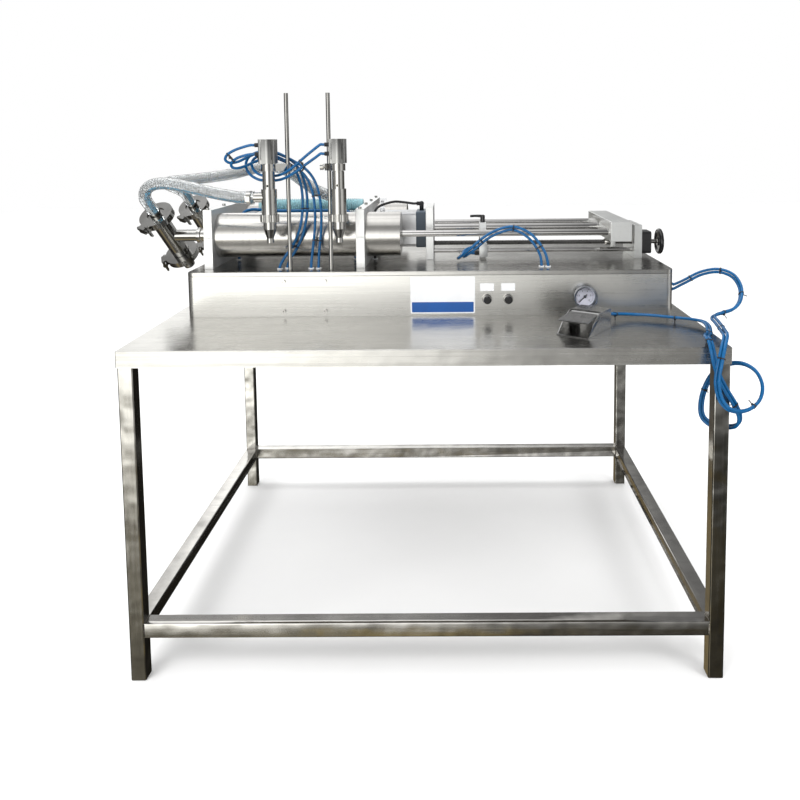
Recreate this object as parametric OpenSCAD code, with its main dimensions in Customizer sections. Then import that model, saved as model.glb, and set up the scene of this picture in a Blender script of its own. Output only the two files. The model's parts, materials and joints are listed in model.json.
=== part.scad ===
// Double-head piston filling machine for honey and other thick liquids, on its own table.
// X runs along the machine, Y goes away from the operator, Z is up, in millimetres.
// The origin is on the floor under the middle of the whole machine.

/* [Table] */
// Width of the table top
table_w = 1500; // [1480:10:1700]
// Depth of the table top
table_d = 1145; // [1100:5:1400]
// Height of the table top above the floor
table_h = 850; // [750:10:950]
// Outside size of the square leg tube
tube_w = 38; // [30:1:50]
// Wall of the square leg tube
tube_wall = 1.5; // [1:0.5:3]
// Gap between the legs and the inside of the top's rim
leg_inset = 0.5; // [0.5:0.5:30]
// Depth of the rim folded down round the table top
rim_h = 42; // [30:1:60]
// Thickness of the table sheet
sheet_t = 2; // [1:0.5:4]
// Height of the top of the lower stretchers
stretcher_z = 150; // [100:5:250]

/* [Base casing] */
// Length of the casing
base_l = 1410; // [1400:5:1440]
// Depth of the casing
base_d = 580; // [570:5:640]
// Height of the casing with its lid
base_h = 130; // [125:1:160]
// Distance of the casing's front from the table's front edge
base_setback = 366; // [350:2:390]
// Sheet of the casing
casing_t = 2.5; // [2:0.5:4]
// Radius of the casing's upright corners
corner_r = 20; // [12:1:40]
// Height of the lid with its folded skirt
lid_h = 13; // [10:1:20]
// Thickness of the lid's plate
lid_t = 4; // [3:0.5:6]
// Width of the shadow gap under the lid
lid_gap = 1.5; // [1:0.1:2]

/* [Front panel] */
// Width of the blank name plate
name_w = 187; // [120:1:190]
// Height of the blank name plate
name_h = 108; // [60:1:110]
// Width of a blank control label
label_w = 40; // [20:1:50]
// Height of a blank control label
label_h = 22; // [10:1:28]
// Thickness of the plates on the panel
name_t = 0.8; // [0.5:0.1:2]
// Diameter of a control knob
knob_d = 24; // [18:1:30]
// Distance between the two control knobs
knob_pitch = 61; // [52:1:70]
// Length of a control knob
knob_l = 20; // [14:1:30]
// Outside diameter of the pressure gauge's bezel
gauge_d = 68; // [50:1:76]
// How far the pressure gauge stands off the panel
gauge_depth = 28; // [20:1:36]

/* [Product cylinders] */
// Bore of a product cylinder
cyl_bore = 125; // [100:1:126]
// Wall of a product cylinder
cyl_wall = 5.5; // [3:0.5:6]
// Height of the cylinder axes above the lid
axis_h = 92; // [90:1:110]
// Distance from a product cylinder's axis to the air cylinder's axis
row_gap = 165; // [145:1:168]
// Distance of the front cylinder's axis behind the casing's front
row_inset = 150; // [145:1:155]
// Thickness of the two clamp plates along the machine
plate_t = 26; // [20:1:32]
// Distance between the two clamp plates
plate_pitch = 453; // [440:1:480]
// Height of the clamp plates above the cylinder axes
plate_top = 84; // [78:1:100]
// Metal left outside the cylinders at the plates' ends
plate_margin = 14; // [13:1:24]
// Length of cylinder that shows beyond the second plate
sleeve_l = 94; // [90:1:120]
// Diameter of a product piston rod
rod_d = 20; // [16:1:25]
// Length of a product piston
piston_l = 50; // [35:1:60]

/* [Drive] */
// Bore of the air cylinder
air_bore = 100; // [80:1:100]
// Side of the square air cylinder barrel
air_side = 112; // [106:1:114]
// Side of the square air cylinder caps
cap_side = 116; // [114:1:118]
// Length of one air cylinder cap
cap_l = 33; // [25:1:40]
// Length of the air cylinder barrel
barrel_l = 521; // [480:1:540]
// Diameter of the air cylinder's rod
air_rod_d = 25; // [20:1:30]
// Stroke of the pistons
stroke = 360; // [250:5:362]
// Distance from the second clamp plate to the drive plate
drive_offset = 203; // [200:1:210]
// Thickness of the drive plate and the end plate
screw_plate_t = 24; // [16:1:28]
// Width of the drive plate and the end plate across the machine
screw_plate_w = 160; // [150:1:170]
// Height of the drive plate above the lid
drive_plate_h = 168; // [160:1:175]
// Height of the end plate above the lid
end_plate_h = 105; // [95:1:110]
// Distance between the drive plate and the end plate
screw_span = 660; // [655:1:664]
// Width of the crosshead along the machine
cross_w = 64; // [45:1:66]
// Height of the crosshead
cross_h = 61; // [50:1:64]
// Gap between the crosshead and the end plate at rest
cross_gap = 31; // [20:1:32]

/* [Stroke setting] */
// Diameter of the stroke screw
screw_d = 16; // [14:1:18]
// Height of the stroke screw above the lid
screw_h = 49; // [47:1:50]
// Distance of the stroke screw in front of the air cylinder's axis
screw_front = 60; // [55:1:65]
// Diameter of the rail under the stroke screw
rail_d = 14; // [10:1:15]
// Height of the rail above the lid
rail_h = 24; // [20:1:26]
// Distance of the stop carriage from the drive plate
carriage_at = 146; // [110:1:150]
// Thickness of the stop carriage along the machine
carriage_t = 22; // [16:1:26]
// Diameter of the handwheel
wheel_d = 82; // [70:1:96]
// Thickness of the handwheel's rim
wheel_t = 14; // [12:1:20]

/* [Valves] */
// Bore of a check valve's branch
valve_bore = 44; // [40:1:46]
// Outside diameter of a check valve's branch
valve_od = 52; // [50:1:54]
// Distance from the valve's middle to a flange face
valve_half = 84; // [78:1:90]
// Outside diameter of the pipe to the cylinder head
pipe_od = 36; // [30:1:40]
// Distance from the first clamp plate to the valve's middle
valve_reach = 130; // [125:1:140]
// Outside diameter of a clamp ring
clamp_od = 102; // [98:1:108]
// Outside diameter of a clamped flange
flange_od = 84; // [78:1:86]
// How far the branch leans out to the left, in degrees
branch_tilt = 12; // [8:1:20]
// How far the branch leans to the operator, in degrees
branch_lean = 39; // [30:1:44]
// Travel of a check valve's poppet
poppet_lift = 10; // [5:1:12]

/* [Hoses] */
// Outside diameter of the product hoses
hose_od = 35; // [30:1:36]
// Bore of the product hoses
hose_id = 25; // [22:1:26]
// Outside diameter of the blue air tubes
tube_d = 8; // [6:1:8]
// Outside diameter of the spare suction hose
suction_od = 44; // [38:1:46]
// Length of the spare suction hose
suction_l = 340; // [200:5:340]

/* [Nozzles] */
// Diameter of a nozzle post
post_d = 12; // [10:1:16]
// Height of the posts above the lid
post_h = 515; // [450:5:560]
// Height of the nozzle tips above the lid at rest
tip_h = 87; // [80:1:110]
// Outside diameter of a nozzle body
nozzle_d = 44; // [40:1:46]
// Side of a nozzle's square air cylinder
actuator_w = 46; // [42:1:50]
// Height of a nozzle's air cylinder
actuator_h = 58; // [52:1:64]
// Lift of a nozzle's stem
stem_lift = 12; // [6:1:14]

/* [Foot pedal] */
// Width of the foot pedal
pedal_w = 88; // [85:1:120]
// Length of the foot pedal
pedal_l = 150; // [150:1:180]
// Height of the foot pedal
pedal_h = 53; // [50:1:60]
// Sheet of the foot pedal
pedal_t = 3; // [2:0.5:4]
// Diameter of the foot pedal's hinge pin
pin_d = 6; // [5:0.5:8]

/* [Hidden] */
$fn = 48;

// Clearances
fit = 0.05;      // running fit on a radius
slip = 0.1;      // seated fit on a radius
free_gap = 0.3;  // free running gap on a radius
eps = 1;         // how far a cut runs past its face

// Colours
steel = [0.72, 0.72, 0.70];
polished = [0.80, 0.81, 0.82];
plate_white = [0.93, 0.93, 0.94];
black = [0.06, 0.06, 0.07];
tube_blue = [0.07, 0.34, 0.80];
hose_clear = [0.80, 0.88, 0.90];

// The table stands off the origin, because the valves overhang its left edge
table_x = 57.75;
leg_x = table_w / 2 - sheet_t - leg_inset - tube_w / 2;
leg_y = table_d / 2 - sheet_t - leg_inset - tube_w / 2;

// Casing and lid
base_x0 = table_x + 7 - base_l / 2;
base_y0 = -table_d / 2 + base_setback;
casing_h = base_h - lid_h;
lid_z = table_h + base_h;
casing_wall_y = base_y0 + casing_t;

// Rows of cylinders
axis_z = lid_z + axis_h;
front_y = base_y0 + row_inset;
air_y = front_y + row_gap;
rear_y = front_y + 2 * row_gap;
rows = [front_y, rear_y];
cyl_od = cyl_bore + 2 * cyl_wall;
plate1_x = base_x0 + 32;
plate2_x = plate1_x + plate_pitch;
plate_y0 = front_y - cyl_od / 2 - plate_margin;
plate_y1 = rear_y + cyl_od / 2 + plate_margin;
head_t = 16;
cyl_x0 = plate1_x + head_t;
cyl_x1 = plate2_x + plate_t + sleeve_l;
guide_l = 10;
bolt_d = 6;
bolt_head_d = 10;
bolt_ys = [
  plate_y0 + plate_margin / 2,
  (front_y + cyl_od / 2 + air_y - air_side / 2) / 2,
  (rear_y - cyl_od / 2 + air_y + air_side / 2) / 2,
  plate_y1 - plate_margin / 2,
];

// Drive train
plate3_x = plate2_x + drive_offset;
plate4_x = plate3_x + screw_plate_t + screw_span - screw_plate_t;
cap_x = plate3_x - cap_l;
barrel_x0 = cap_x - barrel_l;
cross_x1 = plate4_x - cross_gap;
cross_x0 = cross_x1 - cross_w;
cross_y0 = front_y - 28;
cross_y1 = rear_y + 28;
cross_z0 = axis_z - cross_h * 0.44;
socket_depth = 40;
piston_x1 = cyl_x1 - 32;
piston_x0 = piston_x1 - piston_l;
air_piston_l = 30;
air_piston_x1 = cap_x - 3;

// Stroke setting
screw_y = air_y - screw_front;
screw_z = lid_z + screw_h;
rail_z = lid_z + rail_h;
carriage_x = plate3_x + screw_plate_t + carriage_at;
carriage_y0 = screw_y - 27;
carriage_y1 = screw_y + 27;
carriage_z1 = lid_z + 115;
lever_x = carriage_x + carriage_t / 2;
lever_pin_d = 8;
journal_d = screw_d - 2;
tip_journal_d = screw_d - 4;
housing_x = plate4_x + screw_plate_t;
housing_l = 30;
housing_w = 70;
wheel_gap = 26;
wheel_x = housing_x + housing_l + wheel_gap;
limit_y0 = carriage_y0 - 26;
limit_z = [lid_z + 20, lid_z + 38];
port_d = 12;
port_l = 14;

// Panel layout, measured from the casing's left end
name_at = 649;
knob_at = 871;
gauge_at = 1153;
knob_z = table_h + 48;
label_z = table_h + 82;
gauge_z = table_h + 54;
knob_stem_d = 8;
bush_d = 16;
selector_w = 28;
selector_l = 40;
main_valve = [120, 60, 62];
main_valve_at = [720, 250];
needle_pin_d = 3;
gauge_wall = 4;

// Posts and nozzles
post_y = base_y0 + 28;
post_xs = [base_x0 + 297, base_x0 + 417];
nozzle_y = base_y0 - 2;
nozzle_xs = [base_x0 + 248, base_x0 + 447];
socket_screw_dx = -15;
socket_w = 60;
socket_z0 = table_h + 5;
socket_h = casing_h - 8;
screw_zs = [table_h + 16, table_h + 103];
tip_z = lid_z + tip_h;
spout_l = 13;
taper_l = 47;
nut_l = 22;
body_l = 72;
adapter_l = 50;
neck_l = 23;
flange_l = 11;
spout_d = 20;
taper_d = 37;
nut_d = 52;
adapter_d = 35;
neck_d = 28;
stem_d = 10;
nut_z = tip_z + spout_l + taper_l;
body_z = nut_z + nut_l;
adapter_z = body_z + body_l;
neck_z = adapter_z + adapter_l;
flange_z = neck_z + neck_l;
actuator_z = flange_z + flange_l;
clamp_t = 20;
clamp_z = neck_z + 1.5;
inlet_z = [body_z + 49, body_z + 24];
inlet_dir = [[-1, 0, 0], [-0.1, 0.98, 0.15]];
barb_d = hose_id * cos(180 / 12) - 0.6;
barb_l = 30;
barb_neck_l = 20;
chamber_d = 32;
port_zs = [actuator_z + 16, actuator_z + 42];

// Valves
valve_x = plate1_x - valve_reach;
pipe_x = plate1_x - 38;
flange_t = 6;
tail_neck_l = 16;
tail_l = 30;
tail_neck_d = 34;
inlet_neck_d = 46;
seat_t = 6;
seat_at = 24;
poppet_d = valve_bore - 8;
poppet_t = 5;
poppet_stem_d = 8;
branch = [
  -sin(branch_tilt),
  -cos(branch_tilt) * sin(branch_lean),
  cos(branch_tilt) * cos(branch_lean),
];
tail_start = valve_half + flange_t + tail_neck_l;

// Foot pedal
pedal_x = base_x0 + 1119;
pedal_y = base_y0 - 196;
pedal_yaw = -34;
pivot_y = 8;
pivot_z = pedal_h - 9;
pedal_port_z = 26;
pedal_port_dx = 9;
end_port_y = base_y0 + 94;
end_port_z = table_h + 62;

// Suction hose and bought-in tubes
suction_x0 = plate2_x - 5 - suction_l;
suction_id = suction_od - 8;
rib_pitch = 7;

// Cord routes: hand-chosen points between the fittings, for the casing's front left corner at route_base
route_base = [-634, -150, 980];
base_at = [base_x0, base_y0, lid_z] - route_base;
axis_at = [base_at[0], base_at[1], axis_z - 1072];
end_at = [base_x0 + base_l - 776, base_at[1], table_h - 850];
edge_at = [table_x + table_w / 2, -table_d / 2, table_h];
hose_front_mid = [
  [-766, -94, 1194], [-761, -101, 1215], [-743, -107, 1231], [-712, -112, 1238], [-670, -117, 1235],
  [-624, -123, 1226], [-577, -131, 1216], [-535, -140, 1208], [-500, -147, 1202],
];
hose_rear_mid = [
  [-777, 233, 1196], [-797, 217, 1209], [-810, 200, 1218], [-806, 182, 1226], [-784, 166, 1231],
  [-745, 151, 1235], [-690, 135, 1240], [-620, 113, 1248], [-555, 93, 1258], [-498, 73, 1271], [-448, 55, 1280],
  [-398, 36, 1277], [-350, 17, 1256], [-312, 0, 1231], [-275, -14, 1208], [-241, -22, 1195], [-211, -38, 1188],
];
left_tube_a = [
  [-452, -152, 1343], [-482, -150, 1333], [-504, -147, 1320], [-511, -143, 1306], [-500, -138, 1297],
  [-478, -130, 1300], [-454, -121, 1312], [-428, -112, 1323], [-400, -104, 1327], [-372, -99, 1322],
  [-346, -97, 1311], [-322, -96, 1298], [-300, -96, 1284], [-281, -95, 1266], [-266, -94, 1243],
  [-256, -93, 1214], [-250, -93, 1180], [-248, -92, 1135], [-251, -90, 1085], [-257, -89, 1035],
];
left_tube_b = [
  [-452, -151, 1318], [-476, -149, 1310], [-492, -145, 1298], [-494, -140, 1286], [-482, -133, 1281],
  [-460, -124, 1287], [-434, -114, 1299], [-408, -106, 1308], [-380, -101, 1309], [-352, -99, 1299],
  [-328, -98, 1286], [-306, -98, 1271], [-289, -98, 1252], [-277, -97, 1226], [-269, -96, 1192],
  [-266, -95, 1150], [-268, -93, 1100], [-275, -91, 1045], [-280, -90, 1010],
];
right_tube_a = [
  [-250, -152, 1311], [-276, -151, 1293], [-300, -149, 1276], [-324, -146, 1261], [-348, -136, 1250],
  [-371, -124, 1245], [-396, -117, 1244], [-424, -113, 1247], [-449, -109, 1261], [-462, -104, 1282],
  [-462, -96, 1303], [-448, -88, 1320], [-420, -81, 1329], [-388, -77, 1327], [-358, -74, 1315],
  [-332, -73, 1297], [-312, -74, 1273], [-300, -76, 1243], [-293, -78, 1208], [-291, -79, 1168],
  [-295, -80, 1126], [-306, -81, 1082], [-324, -81, 1042], [-344, -81, 1012],
];
right_tube_b = [
  [-250, -152, 1337], [-278, -151, 1315], [-304, -150, 1293], [-328, -148, 1275], [-352, -138, 1263],
  [-374, -125, 1258], [-398, -117, 1257], [-422, -113, 1262], [-440, -108, 1276], [-446, -102, 1295],
  [-436, -95, 1311], [-412, -90, 1318], [-384, -86, 1315], [-358, -84, 1304], [-336, -83, 1288],
  [-320, -84, 1266], [-310, -86, 1240], [-304, -88, 1208], [-303, -89, 1170], [-307, -90, 1128],
  [-318, -91, 1085], [-338, -92, 1045], [-360, -93, 1014],
];
carriage_tube_a = [
  [398, -82, 1014], [383, -78, 1043], [363, -73, 1066], [338, -68, 1082], [313, -65, 1089], [288, -63, 1083],
  [259, -61, 1071], [232, -59, 1053], [206, -55, 1030], [184, -45, 1012], [174, -26, 1003], [170, 0, 1002],
  [170, 26, 1006], [178, 50, 1013],
];
carriage_tube_b = [
  [413, -87, 1020], [394, -83, 1052], [371, -78, 1077], [342, -73, 1093], [313, -70, 1099], [283, -68, 1093],
  [252, -66, 1080], [224, -64, 1061], [196, -59, 1036], [171, -49, 1013], [158, -28, 1000], [154, 0, 994],
  [157, 30, 992], [165, 50, 995], [176, 60, 998],
];
// From the pedal over the table, over its front edge beside the right corner, and back to the casing's end
pedal_out = [
  [556, -256, 876], [580, -238, 871], [610, -222, 867], [645, -216, 864], [690, -228, 864], [741, -254, 864],
  [782, -280, 865], [806, -312, 866], [806, -356, 866], [794, -404, 865], [778, -450, 866],
];
pedal_hang = [
  [-56, 22, 22], [-58, -8, 18], [-56, -24, -4], [-50, -25, -34], [-38, -18, -66], [-18, -12, -102],
  [4, -12, -138], [18, -8, -170], [20, 12, -198], [8, 46, -216], [-16, 78, -224], [-40, 92, -202],
  [-40, 92, -152], [-22, 84, -98], [4, 60, -62], [34, 30, -49], [58, 4, -60], [68, -14, -88], [60, -26, -118],
  [36, -36, -138], [4, -44, -144], [-26, -50, -134], [-46, -52, -108], [-54, -53, -68], [-48, -52, -24],
  [-36, -38, 12], [-20, -6, 30],
];
pedal_back = [
  [806, -470, 880], [816, -420, 879], [824, -370, 879], [830, -330, 879], [846, -298, 879], [876, -272, 880],
  [914, -248, 885], [944, -214, 902], [958, -176, 932], [950, -136, 958], [918, -106, 968], [876, -82, 956],
  [836, -64, 930], [806, -56, 913],
];
supply_route = [
  [-547, 96, 1060], [-543, 97, 1103], [-530, 100, 1131], [-506, 109, 1141], [-465, 116, 1138],
  [-400, 119, 1135], [-325, 121, 1135], [-255, 120, 1135], [-217, 114, 1136], [-192, 103, 1129],
  [-178, 97, 1103], [-173, 92, 1055],
];
black_route = [
  [-18, 163, 1156], [-50, 156, 1159], [-80, 144, 1153], [-100, 124, 1145], [-109, 104, 1133], [-111, 93, 1107],
  [-110, 89, 1070], [-110, 89, 1025],
];
grommet_marks = [
  [-260, -89], [-282, -90], [-354, -81], [-374, -93], [402, -84], [421, -88],
  [-548, 96], [-172, 90], [-110, 89],
];
grommets = [for (g = grommet_marks) [g[0] + base_at[0], g[1] + base_at[1]]];
supply_d = 10;
black_d = 8;

// Small functions
function unit(v) = v / norm(v);
function along(p, v, s) = p + s * v;
function valve_mid(y) = [valve_x, y, axis_z];
function valve_point(y, s) = along(valve_mid(y), branch, s);
function inlet_point(i, s) = along([nozzle_xs[i], nozzle_y, inlet_z[i]], unit(inlet_dir[i]), s);
function inlet_start(i) = nozzle_d / 2 + barb_neck_l + 1;
function turn_z(p, a) = [p[0] * cos(a) - p[1] * sin(a), p[0] * sin(a) + p[1] * cos(a), p[2]];
function placed(list, o) = [for (p = list) p + o];
function into_lid(i) = [for (z = [lid_z + 8, lid_z - 8]) [grommets[i][0], grommets[i][1], z]];
function out_of_lid(i) = [for (z = [lid_z - 8, lid_z + 8]) [grommets[i][0], grommets[i][1], z]];
function pedal_point(p) = [pedal_x, pedal_y, table_h] + turn_z(p, pedal_yaw);

// One point of a Catmull-Rom curve between b and c
function spline_point(a, b, c, d, t) =
  0.5 * (2 * b + (c - a) * t + (2 * a - 5 * b + 4 * c - d) * t * t + (3 * b - a - 3 * c + d) * t * t * t);
function spline(p, n) = [
  for (i = [0 : len(p) - 2])
    for (k = [0 : n - 1])
      spline_point(p[max(i - 1, 0)], p[i], p[i + 1], p[min(i + 2, len(p) - 1)], k / n),
  p[len(p) - 1],
];
function tangents(p) = [
  for (i = [0 : len(p) - 1]) unit(p[min(i + 1, len(p) - 1)] - p[max(i - 1, 0)])
];
function square_to(n, t) = unit(n - (n * t) * t);
// Normals carried along the curve without twist
function normals(t, n0) = [
  for (i = 0, n = square_to(n0, t[0]); i < len(t); i = i + 1, n = i < len(t) ? square_to(n, t[i]) : n) n
];
// A twin line opens out to its ports over its first points and turns about itself on the way
function flare(u) = u <= 1 ? 1 : u >= 4 ? 0 : 0.5 + 0.5 * cos(60 * (u - 1));
function twin(p, n0, n1, s, half) =
  let (
    t = tangents(p),
    n = normals(t, n0),
    last = len(p) - 1,
    twist = atan2(n1 * cross(t[last], n[last]), n1 * n[last])
  ) [
    for (i = [0 : last])
      let (
        w = s * half * (1 + flare(min(i, last - i) / 2)),
        a = twist * min(max((i - 6) / (last - 12), 0), 1)
      )
      p[i] + w * (cos(a) * n[i] + sin(a) * cross(t[i], n[i]))
  ];
function ring(p, t, n, r, sides) =
  let (b = cross(t, n), step = 360 / sides)
  [for (k = [0 : sides - 1]) p + r * (cos(step * k) * n + sin(step * k) * b)];
function rings(p, n0, r, sides) =
  let (t = tangents(p), n = normals(t, n0))
  [for (i = [0 : len(p) - 1]) each ring(p[i], t[i], n[i], r, sides)];
function wall(count, sides, first, flip) = [
  for (i = [0 : count - 2])
    for (k = [0 : sides - 1])
      let (
        a = first + i * sides + k,
        b = first + i * sides + (k + 1) % sides,
        c = a + sides,
        d = b + sides
      )
      each (flip ? [[a, b, d], [a, d, c]] : [[a, d, b], [a, c, d]])
];

// Helpers
module box(a, b) {
  translate(a) cube(b - a);
}

module rod_x(x0, x1, y, z, d) {
  translate([x0, y, z]) rotate([0, 90, 0]) cylinder(d = d, h = x1 - x0);
}

module pipe_x(x0, x1, y, z, od, id) {
  difference() {
    rod_x(x0, x1, y, z, od);
    rod_x(x0 - eps, x1 + eps, y, z, id);
  }
}

module rounded(w, d, r) {
  square([w - 2 * r, d], center = true);
  square([w, d - 2 * r], center = true);
  for (sx = [-1, 1], sy = [-1, 1]) translate([sx * (w / 2 - r), sy * (d / 2 - r)]) circle(r);
}

// Local Z points along the direction v
module aim(p, v) {
  translate(p) rotate([0, acos(v[2] / norm(v)), atan2(v[1], v[0])]) children();
}

// Local Z points out of the front panel, local X along the machine
module on_front(x, z) {
  translate([x, base_y0, z]) rotate([90, 0, 0]) children();
}

// Local Z points along the check valve's branch
module valve_frame(y) {
  translate(valve_mid(y)) rotate([branch_lean, 0, 0]) rotate([0, -branch_tilt, 0]) children();
}

module pedal_frame() {
  translate([pedal_x, pedal_y, table_h]) rotate([0, 0, pedal_yaw]) children();
}

module sweep(p, n0, r, sides) {
  count = len(p);
  polyhedron(
    rings(p, n0, r, sides),
    concat(
      wall(count, sides, 0, false),
      [[for (k = [0 : sides - 1]) k]],
      [[for (k = [sides - 1 : -1 : 0]) (count - 1) * sides + k]]
    )
  );
}

module sweep_hollow(p, n0, r_out, r_in, sides) {
  count = len(p);
  inner = count * sides;
  last = (count - 1) * sides;
  polyhedron(
    concat(rings(p, n0, r_out, sides), rings(p, n0, r_in, sides)),
    concat(
      wall(count, sides, 0, false),
      wall(count, sides, inner, true),
      [for (k = [0 : sides - 1]) let (m = (k + 1) % sides) each [[k, m, inner + m], [k, inner + m, inner + k]]],
      [
        for (k = [0 : sides - 1])
          let (m = (k + 1) % sides)
          each [[last + k, inner + last + m, last + m], [last + k, inner + last + k, inner + last + m]]
      ]
    )
  );
}

// Table
module square_tube(length) {
  inside = tube_w - 2 * tube_wall;
  difference() {
    translate([0, 0, length / 2]) cube([tube_w, tube_w, length], center = true);
    translate([0, 0, length / 2]) cube([inside, inside, length + 2 * eps], center = true);
  }
}

module table_top() {
  color(polished) difference() {
    translate([table_x, 0, table_h - rim_h / 2]) cube([table_w, table_d, rim_h], center = true);
    translate([table_x, 0, table_h - sheet_t - rim_h / 2])
      cube([table_w - 2 * sheet_t, table_d - 2 * sheet_t, rim_h], center = true);
  }
}

module table_legs() {
  inside = tube_w - 2 * tube_wall;
  length = table_h - sheet_t;
  color(polished)
    for (sx = [-1, 1], sy = [-1, 1]) translate([table_x + sx * leg_x, sy * leg_y, 0]) difference() {
      translate([0, 0, length / 2]) cube([tube_w, tube_w, length], center = true);
      translate([0, 0, length / 2 + sheet_t]) cube([inside, inside, length], center = true);
    }
}

// Upper rails under the sheet and lower stretchers, butted between the legs
module table_rails() {
  color(polished)
    for (z = [table_h - sheet_t - tube_w / 2, stretcher_z - tube_w / 2]) {
      for (sy = [-1, 1])
        translate([table_x - leg_x + tube_w / 2, sy * leg_y, z]) rotate([0, 90, 0])
          square_tube(2 * leg_x - tube_w);
      for (sx = [-1, 1])
        translate([table_x + sx * leg_x, -leg_y + tube_w / 2, z]) rotate([-90, 0, 0])
          square_tube(2 * leg_y - tube_w);
    }
}

// Base casing
module base_outline(inset) {
  translate([base_x0 + base_l / 2, base_y0 + base_d / 2])
    rounded(base_l - 2 * inset, base_d - 2 * inset, corner_r - inset);
}

module base_casing() {
  color(steel) difference() {
    translate([0, 0, table_h]) linear_extrude(casing_h) base_outline(0);
    translate([0, 0, table_h + casing_t]) linear_extrude(casing_h) base_outline(casing_t);
    for (x = post_xs, z = screw_zs)
      on_front(x + socket_screw_dx, z) translate([0, 0, -casing_t - eps])
        cylinder(d = bolt_d + 2 * slip, h = casing_t + 2 * eps);
    for (i = [0, 1])
      on_front(base_x0 + knob_at + i * knob_pitch, knob_z) translate([0, 0, -casing_t - eps])
        cylinder(d = bush_d + 2 * slip, h = casing_t + 2 * eps);
    on_front(base_x0 + gauge_at, gauge_z) translate([0, 0, -casing_t - eps])
      cylinder(d = 13 + 2 * slip, h = casing_t + 2 * eps);
    for (p = end_ports()) rod_x(p[0] - casing_t - eps, p[0] + eps, p[1], p[2], port_d + 2 * slip);
  }
}

function end_ports() = [
  for (s = [-1, 1]) [base_x0 + base_l, end_port_y, end_port_z] + [0, 0, s * pedal_port_dx]
];

module base_lid() {
  z0 = table_h + casing_h;
  skirt = lid_gap + casing_t + 1;
  color(polished) difference() {
    translate([0, 0, z0]) linear_extrude(lid_h) base_outline(0);
    translate([0, 0, z0 - eps]) linear_extrude(lid_h - lid_t + eps) base_outline(skirt);
    translate([0, 0, z0 - eps]) linear_extrude(lid_gap + eps) difference() {
      base_outline(-2);
      base_outline(lid_gap);
    }
    for (x = post_xs) translate([x, post_y, z0]) cylinder(d = post_d + 2 * slip, h = lid_h + eps);
    for (g = grommets) translate([g[0], g[1], z0]) cylinder(d = grommet_d(), h = lid_h + eps);
  }
}

function grommet_d() = 14;

// Blocks inside the casing that hold the posts
module post_sockets() {
  color(steel) for (x = post_xs) difference() {
    box(
      [x + socket_screw_dx - socket_w / 2, casing_wall_y, socket_z0],
      [x + socket_screw_dx + socket_w / 2, post_y + 24, socket_z0 + socket_h]
    );
    translate([x, post_y, socket_z0 + 6]) cylinder(d = post_d + 2 * slip, h = socket_h);
    for (z = screw_zs)
      on_front(x + socket_screw_dx, z) translate([0, 0, -casing_t - 15])
        cylinder(d = bolt_d + 2 * slip, h = 15 + eps);
  }
}

// Bare name plate and two bare control labels
module panel_plates() {
  color("white") on_front(base_x0 + name_at + name_w / 2, table_h + 6 + name_h / 2)
    linear_extrude(name_t) rounded(name_w, name_h, 4);
  color("white") for (i = [0, 1])
    on_front(base_x0 + knob_at + i * knob_pitch, label_z) linear_extrude(name_t) rounded(label_w, label_h, 2);
}

module selector_knob(i) {
  color(black) on_front(base_x0 + knob_at + i * knob_pitch, knob_z) {
    translate([0, 0, -10]) cylinder(d = knob_stem_d, h = 18);
    translate([0, 0, 7]) rotate_extrude() intersection() {
      union() {
        square([knob_d / 2, knob_l - knob_d / 3]);
        translate([0, knob_l - knob_d / 3]) scale(1) circle(knob_d / 2);
      }
      square([knob_d / 2, knob_l]);
    }
  }
}

module selector_knob_left() {
  selector_knob(0);
}

module selector_knob_right() {
  selector_knob(1);
}

// Two selector valves behind the panel, the main air valve and the pedal's valve
module air_valves() {
  color(polished) for (i = [0, 1])
    on_front(base_x0 + knob_at + i * knob_pitch, knob_z) difference() {
      union() {
        translate([0, 0, -14]) cylinder(d = bush_d, h = 20);
        cylinder(d = knob_d + 5, h = 4);
        translate([-selector_w / 2, -selector_w / 2, -14 - selector_l])
          cube([selector_w, selector_w, selector_l]);
      }
      translate([0, 0, -12]) cylinder(d = knob_stem_d + 2 * fit, h = 30);
    }
  color(polished) translate([base_x0 + main_valve_at[0], base_y0 + main_valve_at[1], table_h + casing_t])
    cube(main_valve);
  color(polished) pedal_frame() difference() {
    union() {
      translate([-24, 26, pedal_t]) cube([48, pedal_l / 2 - 26 - pedal_t, 36]);
      for (s = [-1, 1])
        translate([s * pedal_port_dx, pedal_l / 2 - pedal_t - eps, pedal_port_z]) rotate([-90, 0, 0])
          cylinder(d = port_d, h = port_l + pedal_t + eps);
    }
    translate([0, 24, pedal_t + 22]) rotate([-90, 0, 0]) cylinder(d = 12, h = 14);
  }
}

// Pressure gauge
module gauge_frame() {
  on_front(base_x0 + gauge_at, gauge_z) children();
}

module gauge_case() {
  dial_d = gauge_d - 2 * gauge_wall - 2;
  color(polished) gauge_frame() {
    difference() {
      union() {
        translate([0, 0, -20]) cylinder(d = 13, h = 20 + eps);
        cylinder(d = gauge_d - 4, h = gauge_depth - 6 + eps);
        translate([0, 0, gauge_depth - 6]) cylinder(d = gauge_d, h = 6);
      }
      translate([0, 0, gauge_wall]) cylinder(d = dial_d, h = gauge_depth);
      translate([0, 0, gauge_wall - 3]) cylinder(d = needle_pin_d, h = 4);
    }
    translate([0, 0, gauge_wall - 3]) cylinder(d = needle_pin_d, h = 12);
    translate([0, 0, gauge_wall + slip]) difference() {
      cylinder(d = dial_d - 2 * slip, h = 1);
      translate([0, 0, -eps]) cylinder(d = needle_pin_d + 2 * slip, h = 3);
    }
  }
}

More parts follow.
